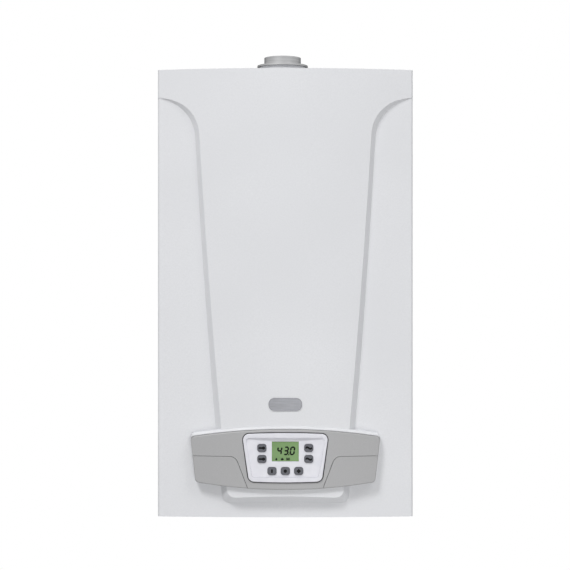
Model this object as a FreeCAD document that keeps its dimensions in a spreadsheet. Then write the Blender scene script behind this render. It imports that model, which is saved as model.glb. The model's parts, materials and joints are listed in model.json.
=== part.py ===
"""Wall-hung gas boiler with a sealed combustion chamber.

Frame: millimetres, +Z up, +X to the right of someone facing the boiler, +Y into the wall.
The origin lies in the wall plane, on the centre line, level with the casing's lower edge.
"""

import FreeCAD, Part
import os
import re
import Sketcher

Vector = FreeCAD.Vector

# Driving dimensions, in millimetres unless the name says otherwise.
SIZES = {
    # whole casing
    "casing_width": 400,
    "casing_height": 700,
    "casing_depth": 262,
    "panel_gauge": 1.0,
    "overrun": 5,
    "seat_gap": 0.3,
    # front casing: pressed steel sheet with a crowned, waisted middle
    "front_return": 24,
    "front_corner_round": 4,
    "flank_crown": 8,
    "body_crown": 23,
    "body_edge_lift": 0.6,
    "body_foot_half": 102,
    "waist_bow": 3.3,
    "body_foot_height": 17,
    "body_foot_round": 18,
    "shoulder_half": 146,
    "shoulder_drop": 60,
    "shoulder_outer_drop": 30,
    "shoulder_round": 88,
    "step_run": 6.75,
    "step_rise": 9,
    "outline_margin": 40,
    "front_joint_gap": 0.3,
    # side panels and top panel
    "side_flange": 13,
    # rear frame
    "frame_gauge": 1.5,
    "frame_side_gap": 1,
    "hang_drop": 45,
    "hang_spacing": 300,
    "hang_hole_radius": 6,
    "hang_boss_radius": 18,
    "hang_boss_height": 2,
    "rib_width": 14,
    "rib_height": 2.5,
    "rib_margin": 60,
    # lower crossbar and casing screws
    "crossbar_rise": 24,
    "screw_offset": 150,
    "screw_radius": 2,
    "screw_length": 9,
    "screw_head_radius": 4.2,
    "screw_head_height": 2.6,
    "screw_hole_clearance": 0.25,
    "screw_setback": 20,
    # control bezel: lens-shaped outline, crowned front, open back
    "bezel_side_gap": 52,
    "bezel_taper": 8,
    "bezel_corner_high": 126.3,
    "bezel_rise": 12.8,
    "bezel_corner_low": 56,
    "bezel_drop": 10.4,
    "bezel_edge_round": 2,
    "bezel_round": 6,
    "bezel_proud": 30,
    "bezel_crown": 14,
    "bezel_wall": 2.5,
    "bezel_clearance": 0.5,
    # lip of the casing over the bezel, which runs out at the corners
    "lip_rise": 4.4,
    "lip_round": 4,
    "lip_setback": 3.5,
    "lip_clear": 2,
    # lower covers at the ends of the bezel
    "cover_height": 96.8,
    "cover_inner_high": 77.5,
    "cover_inner_low": 38.5,
    "cover_round": 13,
    "parting_gap": 0.6,
    # white fascia, dished, with its seal
    "fascia_half_high": 67,
    "fascia_half_low": 56.5,
    "fascia_corner_high": 131.8,
    "fascia_rise": 2,
    "fascia_corner_low": 58.7,
    "fascia_drop": 1.3,
    "fascia_edge_round": 1.2,
    "fascia_round": 9.5,
    "fascia_proud": 2.6,
    "fascia_sink": 1.4,
    "fascia_plate": 2.2,
    "dish_side": 5,
    "dish_top": 5,
    "dish_foot": 6,
    "dish_round": 6,
    "seal_width": 1.4,
    "seal_fit": 0.05,
    "seal_recess": 1.2,
    # display
    "window_half": 20.9,
    "window_low": 89.7,
    "window_high": 120.6,
    "window_recess": 0.9,
    "window_fit": 0.2,
    "lcd_margin": 4,
    "lcd_thickness": 6.2,
    # push buttons
    "button_width": 13.8,
    "button_height": 12.3,
    "button_round": 4,
    "button_edge_round": 0.8,
    "button_proud": 1.7,
    "button_travel": 0.8,
    "button_clearance": 0.25,
    "button_flange": 1,
    "button_flange_thickness": 1.2,
    "button_side_column": 36.3,
    "button_high_row": 110.6,
    "button_low_row": 93.5,
    "button_bottom_row": 74.9,
    "button_pitch": 20.7,
    # display board with its switches, on bosses of the fascia
    "board_gauge": 1.6,
    "board_half": 51,
    "board_low": 64,
    "board_high": 126,
    "boss_radius": 2.6,
    "boss_inset": 3.4,
    "switch_side": 6,
    "switch_slack": 0.1,
    # control box behind the bezel, its rear cover and the main board
    "box_side_gap": 14,
    "box_low": 30,
    "box_high": 150,
    "box_setback": 5,
    "box_depth": 63,
    "box_wall": 2.2,
    "box_window_half": 118,
    "box_window_low": 60,
    "box_window_high": 121,
    "pivot_radius": 5,
    "pivot_height": 46,
    "pivot_setback": 32,
    "cover_lip": 1.8,
    "main_board_side_gap": 36,
    "main_board_margin": 12,
    "main_board_lift": 10,
    "post_radius": 4,
    "transformer_side": 38,
    "transformer_height": 30,
    "relay_length": 20,
    "relay_width": 11,
    "relay_height": 15,
    "relay_pitch": 26,
    "capacitor_radius": 8,
    "capacitor_height": 24,
    "plug_length": 24,
    "plug_depth": 10,
    "plug_height": 12,
    "plug_count": 9,
    # rear frame, which reaches a little below the casing, and its brackets for the combustion chamber
    "frame_drop": 8,
    "bracket_inset": 12,
    "bracket_low": 320,
    "bracket_drop": 20,
    # lower crossbar, which takes the casing screws in slots open to the front
    "crossbar_depth": 52,
    "crossbar_setback": 5,
    "crossbar_notch": 2,
    "nose_gap": 0.5,
    # rail that carries the pipe unions
    "rail_low": 18,
    "rail_gauge": 2,
    "rail_side_gap": 14,
    "rail_depth": 135,
    "rail_flange": 30,
    # top panel and the flue connection through it
    "top_margin": 1.3,
    "flue_depth": 151,
    "flue_radius": 30,
    "flue_bore": 28.7,
    "flue_reach": 28,
    "flue_rise": 35.5,
    "flue_hole": 34,
    "collar_radius": 41.5,
    "collar_neck": 38,
    "collar_stand": 19.5,
    "collar_gauge": 3,
    "flue_offset": -4.5,
    "plug_inset": 78,
    "plug_radius": 30,
    "plug_flange_radius": 37,
    "plug_flange_height": 2.5,
    "plug_reach": 10,
    "plug_fit": 0.3,
    # combustion chamber and its cover
    "chamber_side_gap": 12,
    "chamber_setback": 36,
    "chamber_reach": 142,
    "chamber_low": 300,
    "chamber_gauge": 1,
    "chamber_flange": 12,
    "cover_gauge": 2,
    "cover_margin": 2,
    "cover_screw_radius": 1.8,
    "cover_screw_length": 9,
    "cover_screw_head": 4,
    "cover_screw_head_height": 2.4,
    "cover_screw_inset": 6,
    "cover_screw_rows": 4,
    "pipe_hole_clearance": 1.5,
    "sight_x": 60,
    "sight_z": 395,
    "sight_radius": 14,
    "sight_rim": 4,
    "sight_thickness": 3,
    # combustion box, lining and burner
    "furnace_side_gap": 12,
    "furnace_back": 96,
    "furnace_front": 222,
    "furnace_top": 440,
    "furnace_gauge": 1,
    "air_slot_low": 6,
    "air_slot_high": 18,
    "air_slot_inset": 18,
    "lining_thickness": 12,
    "lining_low": 352,
    "ramp_count": 13,
    "ramp_end_gap": 19,
    "ramp_width": 9,
    "ramp_back": 112,
    "ramp_front": 206,
    "ramp_low": 314,
    "ramp_high": 350,
    "ramp_slot_width": 3,
    "ramp_slot_depth": 5,
    "ramp_slot_margin": 6,
    "tie_side": 4,
    "tie_low": 320,
    "injector_inset": 12,
    "injector_low": 318,
    "injector_side": 12,
    "nozzle_radius": 2.5,
    "nozzle_gap": 0.4,
    "electrode_offset": 40,
    "electrode_rise": 18,
    "electrode_radius": 3.5,
    "electrode_hole": 4,
    "electrode_flange": 14,
    "electrode_flange_thickness": 2,
    "electrode_reach": 32,
    "electrode_wire_radius": 0.8,
    "electrode_wire_reach": 52,
    # primary heat exchanger
    "fin_count": 20,
    "fin_end_gap": 9.7,
    "fin_gauge": 0.8,
    "fin_low": 443,
    "tube_height": 470,
    "tube_radius": 7,
    "tube_count": 5,
    "tube_first": 116,
    "tube_pitch": 21.5,
    "exchanger_top": 505,
    "header_width": 24,
    "header_half_height": 9,
    "header_back": 98,
    "header_front": 214,
    # flue hood and its riser
    "hood_gauge": 1,
    "hood_top": 533,
    "riser_half": 60,
    "riser_front": 130,
    "riser_drop": 50,
    # fan
    "fan_x": 20,
    "fan_drop": 102,
    "scroll_radius": 58,
    "scroll_front": 172,
    "scroll_wall": 1.5,
    "duct_width": 50,
    "duct_drop": 46,
    "plenum_half": 38,
    "plenum_drop": 48,
    "fan_inlet": 34,
    "fan_shaft": 4,
    "fan_shaft_slack": 0.04,
    "fan_shaft_hole": 7,
    "fan_shaft_reach": 24,
    "motor_radius": 30,
    "motor_length": 40,
    "motor_rib_gap": 6,
    "motor_rib_depth": 2,
    "impeller_radius": 48,
    "impeller_inner": 37,
    "impeller_hub": 12,
    "impeller_plate": 1.6,
    "impeller_gap": 2.5,
    "impeller_width": 30,
    "impeller_rim": 2,
    "blade_gauge": 1.4,
    "blade_count": 16,
    "blade_lean": 14,
    # air pressure switch and its hose
    "switch_depth": 180,
    "switch_rise": 14,
    "switch_radius": 32,
    "switch_thickness": 30,
    "switch_rim": 3,
    "switch_rim_height": 6,
    "stub_radius": 2.5,
    "stub_length": 8,
    "hose_radius": 3.5,
    "hose_bend": 66,
    # expansion vessel behind the chamber
    "vessel_z": 500,
    "vessel_side_gap": 18,
    "vessel_back": 8,
    "vessel_thickness": 72,
    "vessel_shoulder": 20,
    "vessel_wall": 1.5,
    "vessel_seam": 4,
    "vessel_seam_height": 6,
    "vessel_stud": 12,
    "vessel_port_x": 80,
    "vessel_port_radius": 8,
    "vessel_port_low": 335,
    # pipe unions under the rail
    "union_inset": 70,
    "union_inner": 65,
    "union_depth": 90,
    "union_clearance": 0.5,
    "large_thread": 13.22,
    "small_thread": 10.48,
    "union_low": -14,
    "union_relief": 2,
    "union_neck": 1,
    "union_flange": 4,
    "union_flange_height": 8,
    "union_bore_wall": 3,
    "union_bore_depth": 30,
    # brass blocks over the unions
    "block_back": 60,
    "block_front": 120,
    "block_high": 78,
    "block_inner": 45,
    "block_reach": 22,
    "block_round": 8,
    # pipes
    "water_pipe": 8,
    "gas_pipe_radius": 6.5,
    "flow_depth": 108,
    "return_depth": 202,
    "return_turn": 250,
    "gas_rise_depth": 213.5,
    "gas_turn": 240,
    "vessel_pipe": 5,
    "vessel_turn": 122,
    # plate exchanger behind the blocks
    "plates_half": 95,
    "plates_low": 40,
    "plates_high": 112,
    "plates_back": 20,
    "plates_front": 56,
    "plate_count": 9,
    "plate_pitch": 4,
    "plate_gauge": 1.6,
    "plate_lip": 1.5,
    "plates_port_radius": 9,
    "plates_port_x": 75,
    "plates_port_z": 56,
    # pump on the return block
    "pump_z": 134,
    "volute_radius": 42,
    "volute_back": 62,
    "volute_front": 108,
    "volute_cavity": 36,
    "volute_wall": 6,
    "neck_radius": 15,
    "pump_top": 200,
    "pump_shaft": 5,
    "pump_shaft_slack": 0.04,
    "pump_shaft_hole": 8,
    "pump_shaft_reach": 34,
    "pump_motor_radius": 45,
    "pump_motor_length": 74,
    "pump_cap_radius": 12,
    "pump_cap_height": 2,
    "rotor_radius": 31,
    "rotor_plate": 3,
    "rotor_gap": 6,
    "rotor_width": 12,
    "rotor_blade": 2.5,
    # diverter motor on the flow block
    "diverter_x": 78,
    "diverter_side": 40,
    "diverter_height": 46,
    "diverter_neck": 12,
    "diverter_neck_height": 10,
    "diverter_round": 5,
    # gas valve over the gas union
    "valve_half": 29,
    "valve_back": 66,
    "valve_front": 128,
    "valve_low": 112,
    "valve_high": 178,
    "valve_round": 5,
    "coil_radius": 14,
    "coil_length": 34,
    "coil_height": 128,
    "coil_offset": 15,
    "valve_screw": 8,
    "valve_screw_height": 12,
    # safety valve knob on the return block
    "safety_x": 95,
    "safety_z": 52,
    "safety_body": 12,
    "safety_body_length": 26,
    "safety_stem": 4,
    "stem_slack": 0.04,
    "safety_stem_reach": 14,
    "safety_knob_radius": 16,
    "safety_knob_length": 16,
    "knob_lobes": 6,
    "knob_notch": 3,
    # pressure gauge under the rail
    "gauge_x": -97.5,
    "gauge_depth": 130,
    "gauge_radius": 20,
    "gauge_low": -6,
    "gauge_wall": 2,
    "gauge_recess": 4,
    "gauge_stud_radius": 5,
    "gauge_stud_top": 26,
    "needle_pin": 1,
    "needle_pin_slack": 0.03,
    "needle_pin_reach": 6,
    "needle_hub": 2.6,
    "needle_gauge": 0.8,
    "needle_gap": 0.3,
    "needle_length": 14,
    "needle_tail": 5,
    "needle_width": 1.6,
    # filling tap under the return block
    "tap_x": 97.5,
    "tap_depth": 112,
    "tap_stem_radius": 4,
    "tap_clearance": 2,
    "tap_stem_top": 42,
    "tap_radius": 12,
    "tap_low": -14,
    "tap_high": 2,
}

doc = FreeCAD.newDocument("gas_boiler")
sheet = doc.addObject("Spreadsheet::Sheet", "Sizes")
for row, (name, number) in enumerate(SIZES.items(), 1):
    sheet.set(f"A{row}", name)
    sheet.set(f"B{row}", str(number))
    sheet.setAlias(f"B{row}", name)
doc.recompute()

NODES = []

# Sizes that follow from others.
FOLLOWING = {
    "shoulder_height": "casing_height - shoulder_drop",
    "shoulder_outer_height": "casing_height - shoulder_outer_drop",
    "hang_height": "casing_height - hang_drop",
    "bezel_front": "casing_depth + bezel_proud",
    "fascia_front": "bezel_front + fascia_proud",
    "fascia_floor": "bezel_front - fascia_sink",
    "box_half": "casing_width / 2 - box_side_gap",
    "box_front": "casing_depth - box_setback",
    "box_back": "box_front - box_depth",
    "pivot_depth": "box_front - pivot_setback",
    "main_board_half": "box_half - main_board_side_gap",
    "bracket_offset": "chamber_half - bracket_inset",
    "bracket_high": "casing_height - bracket_drop",
    "crossbar_front": "casing_depth - crossbar_setback",
    "crossbar_back": "crossbar_front - crossbar_depth",
    "crossbar_waist": "casing_depth - front_return - crossbar_notch",
    "crossbar_nose_half": "casing_width / 2 - side_flange - nose_gap",
    "rail_half": "casing_width / 2 - rail_side_gap",
    "flue_low": "casing_height - flue_reach",
    "flue_top": "casing_height + flue_rise",
    "plug_offset": "casing_width / 2 - plug_inset",
    "chamber_half": "casing_width / 2 - chamber_side_gap",
    "chamber_depth": "casing_depth - chamber_setback",
    "riser_top": "casing_height - riser_drop",
    "fan_z": "casing_height - fan_drop",
    "duct_top": "casing_height - duct_drop",
    "plenum_low": "casing_height - plenum_drop",
    "switch_z": "fan_z + switch_rise",
    "vessel_radius": "bracket_offset - vessel_side_gap",
    "union_outer": "casing_width / 2 - union_inset",
    "block_outer": "union_outer + block_reach",
    "furnace_half": "union_outer - furnace_side_gap",
    "air_slot_half": "furnace_half - air_slot_inset",
    "injector_half": "furnace_half - injector_inset",
    "ramp_pitch": "2 * (furnace_half - ramp_end_gap) / (ramp_count - 1)",
    "fin_pitch": "2 * (furnace_half - fin_end_gap) / (fin_count - 1)",
    "electrode_height": "ramp_high + electrode_rise",
    "bezel_half_high": "casing_width / 2 - bezel_side_gap",
    "bezel_half_low": "bezel_half_high - bezel_taper",
}


def full(expression):
    """An expression in the names above, as one in the cells of the sheet."""

    def in_cells(word):
        if word[0] in FOLLOWING:
            return f"({full(FOLLOWING[word[0]])})"
        return f"Sizes.{word[0]}" if word[0] in SIZES else word[0]

    return re.sub(r"[A-Za-z_]\w*", in_cells, str(expression))


def value(expression):
    """The number that an expression in the names of the sheet gives."""
    found = sheet.evalExpression(full(expression))
    return float(getattr(found, "Value", found))


def vector(*expressions):
    return Vector(*(value(e) for e in expressions))


def bind(thing, **properties):
    """Binds properties of a document object to expressions; a double underscore stands for a dot."""
    for name, expression in properties.items():
        thing.setExpression(name.replace("__", "."), full(expression))
    return thing


def at(thing, x, y, z):
    return bind(thing, Placement__Base__x=x, Placement__Base__y=y, Placement__Base__z=z)


def node(label, thing):
    """Marks a finished sub-part: its label names its file."""
    doc.recompute()
    thing.Label = label
    NODES.append(thing)
    return thing


def box(x, y, z, dx, dy, dz):
    """A block between two corners, the second given by its extents."""
    made = doc.addObject("Part::Box", "block")
    bind(made, Length=dx, Width=dy, Height=dz)
    return at(made, x, y, z)


TURNS = {
    "+Z": FreeCAD.Rotation(),
    "-Z": FreeCAD.Rotation(Vector(1, 0, 0), 180),
    "+Y": FreeCAD.Rotation(Vector(1, 0, 0), -90),
    "-Y": FreeCAD.Rotation(Vector(1, 0, 0), 90),
    "+X": FreeCAD.Rotation(Vector(0, 1, 0), 90),
    "-X": FreeCAD.Rotation(Vector(0, 1, 0), -90),
}


def rod(x, y, z, radius, length, along="+Z"):
    """A round bar from a point, along one axis."""
    made = doc.addObject("Part::Cylinder", "rod")
    made.Placement.Rotation = TURNS[along]
    bind(made, Radius=radius, Height=length)
    return at(made, x, y, z)


def join(*pieces):
    made = doc.addObject("Part::MultiFuse", "join")
    made.Shapes = list(pieces)
    made.Refine = True
    return made


def cut(base, *tools):
    made = doc.addObject("Part::Cut", "cut")
    made.Base = base
    made.Tool = tools[0] if len(tools) == 1 else join(*tools)
    made.Refine = True
    return made


def common(first, second):
    made = doc.addObject("Part::Common", "common")
    made.Base = first
    made.Tool = second
    return made


def group(*pieces):
    """Separate solids kept side by side in one sub-part."""
    made = doc.addObject("Part::Compound", "group")
    made.Links = list(pieces)
    return made


def plane_of(body, role):
    return next(f for f in body.Origin.OriginFeatures if f.Role == role)


def sketch_in(body, role, points, offset="0"):
    """A closed outline on one of the body's origin planes. A point is (x, y), or (x, y, middle, radius)
    where an arc of that radius, through about that middle point, runs to the next point."""
    sketch = body.newObject("Sketcher::SketchObject", "outline")
    sketch.AttachmentSupport = [(plane_of(body, role), "")]
    sketch.MapMode = "FlatFace"
    bind(sketch, AttachmentOffset__Base__z=offset)
    corners = [vector(p[0], p[1], 0) for p in points]
    starts = []
    ends = []
    for i, point in enumerate(points):
        here, after = corners[i], corners[(i + 1) % len(points)]
        if len(point) == 2:
            sketch.addGeometry(Part.LineSegment(here, after), False)
            starts.append(1)
            ends.append(2)
        else:
            sketch.addGeometry(Part.Arc(here, vector(*point[2], 0), after), False)
            forward = sketch.Geometry[i].StartPoint.distanceToPoint(here) < (
                sketch.Geometry[i].EndPoint.distanceToPoint(here)
            )
            starts.append(1 if forward else 2)
            ends.append(2 if forward else 1)
    for i in range(len(points)):
        after = (i + 1) % len(points)
        sketch.addConstraint(Sketcher.Constraint("Coincident", i, ends[i], after, starts[after]))
    for i, point in enumerate(points):
        for kind, expression in (("DistanceX", point[0]), ("DistanceY", point[1])):
            number = sketch.addConstraint(Sketcher.Constraint(kind, i, starts[i], value(expression)))
            sketch.setExpression(f"Constraints[{number}]", full(expression))
        if len(point) > 2:
            number = sketch.addConstraint(Sketcher.Constraint("Radius", i, value(point[3])))
            sketch.setExpression(f"Constraints[{number}]", full(point[3]))
    return sketch


NORMALS = {"XY_Plane": Vector(0, 0, 1), "XZ_Plane": Vector(0, -1, 0), "YZ_Plane": Vector(1, 0, 0)}


def spots(role, points, offset):
    """Where outline points lie in space, on the sketch's plane."""
    shift = NORMALS[role] * value(offset)
    turned = {
        "XY_Plane": lambda a, b: Vector(a, b, 0),
        "XZ_Plane": lambda a, b: Vector(a, 0, b),
        "YZ_Plane": lambda a, b: Vector(0, a, b),
    }[role]
    return [turned(value(p[0]), value(p[1])) + shift for p in points]


def round_corners(body, feature, role, places, radius):
    """Rounds the edges of a feature that leave the plane of its outline at given places of it."""
    doc.recompute()
    near = 1e-4
    names = []
    for i, edge in enumerate(feature.Shape.Edges, 1):
        first, last = (edge.Vertexes[k].Point for k in (0, -1))
        leaves = abs((last - first).dot(NORMALS[role])) > near
        if leaves and any(min(p.distanceToPoint(first), p.distanceToPoint(last)) < near for p in places):
            names.append(f"Edge{i}")
    made = body.newObject("PartDesign::Fillet", "round")
    made.Base = (feature, names)
    return bind(made, Radius=radius)


def prism(role, points, offset, length, rounds=(), taper=None):
    """A body padded from an outline, with sides that lean in by a taper angle where one is given.
    Each of rounds is (indices of outline points, radius)."""
    body = doc.addObject("PartDesign::Body", "prism")
    feature = body.newObject("PartDesign::Pad", "pad")
    feature.Profile = sketch_in(body, role, points, offset)
    bind(feature, Length=length)
    if taper:
        bind(feature, TaperAngle=f"-({taper})")
    return rounded(body, feature, role, points, offset, rounds)


def rounded(body, feature, role, points, offset, rounds):
    corners = spots(role, points, offset)
    for indices, radius in rounds:
        feature = round_corners(body, feature, role, [corners[i] for i in indices], radius)
    body.Tip = feature
    return body


def turned(points, x, y, z, along="+Z"):
    """A body turned from half an outline of (radius, height) points, then stood at a place."""
    body = doc.addObject("PartDesign::Body", "turned")
    spin = body.newObject("PartDesign::Revolution", "spin")
    sketch = sketch_in(body, "XZ_Plane", points)
    spin.Profile = sketch
    spin.ReferenceAxis = (sketch, ["V_Axis"])
    spin.Angle = 360
    body.Placement.Rotation = TURNS[along]
    return at(body, x, y, z)


def arc_radius(half_chord, rise):
    return f"(({half_chord})^2 + ({rise})^2) / (2 * ({rise}))"


# Front casing: one pressed sheet. The flanks are a shallow barrel; the waisted middle is a deeper one.
def barrel(inset, crown, lift, back):
    """A crowned slab as wide as the casing, less an inset, from a back plane to its barrel front."""
    half = f"casing_width / 2 - {inset}"
    face = f"-casing_depth - {lift} + {inset}"
    points = [
        (f"-({half})", back),
        (f"-({half})", face, ("0", f"{face} - {crown}"), arc_radius(half, crown)),
        (half, face),
        (half, back),
    ]
    return prism(
        "XY_Plane", points, inset, f"casing_height - 2 * {inset}",
        [([1, 2], f"front_corner_round - {inset}")]
    )


def waist(inset):
    """The raised middle, with sloping sides, drawn up past the deepest crown."""
    margin = "casing_width / 2 + outline_margin"
    foot = f"{inset} - step_run"
    low = (f"body_foot_half - ({foot})", f"body_foot_height + {foot}")
    high = (f"shoulder_half - ({foot})", f"shoulder_height + {foot}")
    bow = (f"(({low[0]}) + ({high[0]})) / 2 + waist_bow", f"(({low[1]}) + ({high[1]})) / 2")
    half_chord = f"sqrt((({high[0]}) - ({low[0]}))^2 + (({high[1]}) - ({low[1]}))^2) / 2"
    radius = arc_radius(half_chord, "waist_bow")
    right = [
        (*low, bow, radius),
        high,
        (margin, f"shoulder_outer_height + {foot}"),
        (margin, "casing_height + outline_margin"),
    ]
    left = [(f"-({x})", z) for x, z in (right[3], right[2])]
    left.append((f"-({high[0]})", high[1], (f"-({bow[0]})", bow[1]), radius))
    left.append((f"-({low[0]})", low[1]))
    points = right + left
    rounds = [([0, 7], f"body_foot_round - {inset}"), ([1, 6], f"shoulder_round + {inset}")]
    base = f"casing_depth - {inset} - step_rise"
    return prism("XZ_Plane", points, base, "4 * step_rise", rounds, "atan(step_run / step_rise)")


def casing_form(inset, back):
    """The casing's outer form, or the inner one that lies one sheet thickness inside it."""
    flanks = barrel(inset, "flank_crown", "0", back)
    middle = common(barrel(inset, "body_crown", "body_edge_lift", back), waist(inset))
    return join(flanks, middle)


front_back = "front_return - casing_depth"


# Outline of the bezel and of the fascia: straight leaning ends, bowed top and bottom.
def lens(name, grow):
    """A lens outline grown by a margin, from the sizes that carry its name."""
    high, low = f"{name}_half_high + {grow}", f"{name}_half_low + {grow}"
    top, foot = f"{name}_corner_high + {grow}", f"{name}_corner_low - ({grow})"
    rise, drop = f"{name}_rise", f"{name}_drop"
    return [
        (high, top, ("0", f"{top} + {rise}"), arc_radius(high, rise)),
        (f"-({high})", top),
        (f"-({low})", foot, ("0", f"{foot} - {drop}"), arc_radius(low, drop)),
        (low, foot),
    ]


def lens_prism(name, grow, back, front):
    """The lens outline drawn forward, from one distance off the wall to another."""
    return prism(
        "XZ_Plane", lens(name, grow), back, f"{front} - ({back})",
        [([0, 1, 2, 3], f"{name}_round + {grow}")]
    )


def crowned(name, grow, back, front):
    """A block of the lens outline, crowned like the bezel, its middle at a distance off the wall."""
    body = lens_prism(name, grow, back, f"{front} + overrun")
    half = "(bezel_half_high + 2 * overrun)"
    radius = arc_radius("bezel_half_high", "bezel_crown")
    face = f"{radius} - sqrt(({radius})^2 - {half}^2) - ({front})"
    past = f"-({front} + 2 * overrun)"
    trim = body.newObject("PartDesign::Pocket", "crown")
    points = [
        (f"-{half}", face, ("0", f"-({front})"), radius),
        (half, face),
        (half, past),
        (f"-{half}", past),
    ]
    trim.Profile = sketch_in(body, "XY_Plane", points)
    trim.Reversed = True
    bind(trim, Length="box_high + overrun")
    body.Tip = trim
    return body


def round_front(body, radius):
    """Rounds the edge of a body's foremost face."""
    doc.recompute()
    last = body.Tip
    front = min(last.Shape.Faces, key=lambda face: face.CenterOfMass.y)
    edges = enumerate(last.Shape.Edges, 1)
    names = [f"Edge{i}" for i, edge in edges if any(edge.isSame(side) for side in front.Edges)]
    made = body.newObject("PartDesign::Fillet", "round")
    made.Base = (last, names)
    bind(made, Radius=radius)
    body.Tip = made
    return body


# Front casing, with an opening that the bezel stands through, a lip over it, and holes for its two screws.
def casing_screw_parts(radius, length, start):
    return [
        rod(f"{side} * screw_offset", "screw_setback - casing_depth", start, radius, length)
        for side in (-1, 1)
    ]


lip_front = "bezel_front - lip_setback"
lip_form = crowned("bezel", "bezel_clearance", "box_front + lip_clear", lip_front)
lip = at(round_front(lip_form, "lip_round"), "0", "0", "lip_rise")
pressing = cut(casing_form("0", front_back), casing_form("panel_gauge", f"{front_back} + overrun"))
node(
    "front_casing",
    cut(
        join(pressing, lip),
        lens_prism("bezel", "bezel_clearance", "box_back", "bezel_front + overrun"),
        *casing_screw_parts(
            "screw_radius + screw_hole_clearance", "panel_gauge + 2 * overrun", "-overrun",
        ),
    ),
)


# Control bezel: a moulded cap, closed by the control box behind it, with a lower cover let into each end.
def bezel_shell():
    skin = round_front(crowned("bezel", "0", "box_front", "bezel_front"), "bezel_edge_round")
    hollow = crowned("bezel", "-bezel_wall", "box_front - overrun", "bezel_front - bezel_wall")
    return cut(
        skin, hollow, lens_prism("fascia", "seal_width + seal_fit", "box_front", "bezel_front + overrun"),
    )


def cover_zone(side, gap):
    """The end region of a lower cover, with or without the parting gap round it."""
    points = [
        (f"{side} * (cover_inner_low - {gap})", "-overrun"),
        (f"{side} * (cover_inner_high - {gap})", f"cover_height + {gap}"),
        (f"{side} * (bezel_half_high + overrun)", f"cover_height + {gap}"),
        (f"{side} * (bezel_half_high + overrun)", "-overrun"),
    ]
    return prism(
        "XZ_Plane", points, "box_front - overrun", "bezel_front", [([1], f"cover_round + {gap}")]
    )


node("control_bezel", cut(bezel_shell(), cover_zone(-1, "parting_gap"), cover_zone(1, "parting_gap")))
node("left_lower_cover", common(bezel_shell(), cover_zone(-1, "0")))
node("right_lower_cover", common(bezel_shell(), cover_zone(1, "0")))

# Seal round the fascia, set back from both faces.
seal_back = "bezel_front - bezel_crown + seal_recess"
node(
    "fascia_seal",
    cut(
        crowned("fascia", "seal_width", seal_back, "bezel_front - seal_recess"),
        lens_prism("fascia", "seal_fit", "box_front - overrun", "bezel_front + overrun"),
    ),
)

# Buttons: a column each side of the display and a row below it.
BUTTONS = {
    "left_upper": ("-button_side_column", "button_high_row"),
    "left_lower": ("-button_side_column", "button_low_row"),
    "right_upper": ("button_side_column", "button_high_row"),
    "right_lower": ("button_side_column", "button_low_row"),
    "bottom_left": ("-button_pitch", "button_bottom_row"),
    "bottom_centre": ("0", "button_bottom_row"),
    "bottom_right": ("button_pitch", "button_bottom_row"),
}
fascia_back = "(fascia_floor - fascia_plate)"


def pill(x, z, grow, back, front):
    """A rounded square about a point of the front, grown by a margin, between two depths."""
    wide, tall = f"button_width / 2 + {grow}", f"button_height / 2 + {grow}"
    points = [
        (f"{x} + {wide}", f"{z} + {tall}"),
        (f"{x} - ({wide})", f"{z} + {tall}"),
        (f"{x} - ({wide})", f"{z} - ({tall})"),
        (f"{x} + {wide}", f"{z} - ({tall})"),
    ]
    return prism(
        "XZ_Plane", points, back, f"{front} - ({back})", [([0, 1, 2, 3], f"button_round + {grow}")],
    )


def fascia_bosses(radius, back, front):
    places = [(f"{side} * (board_half - boss_inset)", z) for side in (-1, 1) for z in BOSS_ROWS]
    return [rod(x, f"-({back})", z, radius, f"{front} - ({back})", "-Y") for x, z in places]


BOSS_ROWS = ("board_low + boss_inset", "board_high - boss_inset")
board_front = f"({fascia_back} - lcd_thickness)"
dish = [
    ("fascia_half_high - dish_side", "fascia_corner_high - dish_top"),
    ("-(fascia_half_high - dish_side)", "fascia_corner_high - dish_top"),
    ("-(fascia_half_low - dish_side)", "fascia_corner_low + dish_foot"),
    ("fascia_half_low - dish_side", "fascia_corner_low + dish_foot"),
]
dish_prism = prism("XZ_Plane", dish, "fascia_floor", "bezel_crown", [([0, 1, 2, 3], "dish_round")])
window = box(
    "-window_half", "-fascia_front", "window_low", "2 * window_half", "fascia_front",
    "window_high - window_low"
)
fascia_plate = round_front(crowned("fascia", "0", fascia_back, "fascia_front"), "fascia_edge_round")
node(
    "display_fascia",
    join(
        cut(
            fascia_plate,
            dish_prism,
            window,
            *[pill(x, z, "button_clearance", "box_front", "fascia_front") for x, z in BUTTONS.values()],
        ),
        *fascia_bosses("boss_radius", board_front, f"{fascia_back} + fascia_plate / 2"),
    ),
)
for place, (x, z) in BUTTONS.items():
    cap = round_front(
        pill(x, z, "0", f"{fascia_back} - seat_gap", "fascia_floor + button_proud"), "button_edge_round"
    )
    flange = pill(
        x, z, "button_flange", f"{fascia_back} - seat_gap - button_flange_thickness",
        f"{fascia_back} - seat_gap"
    )
    node(f"button_{place}", join(cap, flange))

# Liquid-crystal module: a block on the board, its glass set into the fascia's window.
lcd_block = box(
    "-window_half - lcd_margin",
    f"-{fascia_back}",
    "window_low - lcd_margin",
    "2 * (window_half + lcd_margin)",
    "lcd_thickness",
    "window_high - window_low + 2 * lcd_margin",
)
lcd_glass = box(
    "-window_half + window_fit",
    "window_recess - fascia_floor",
    "window_low + window_fit",
    "2 * (window_half - window_fit)",
    "fascia_plate - window_recess + lcd_thickness / 2",
    "window_high - window_low - 2 * window_fit",
)
node("lcd_module", join(lcd_block, lcd_glass))

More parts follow.
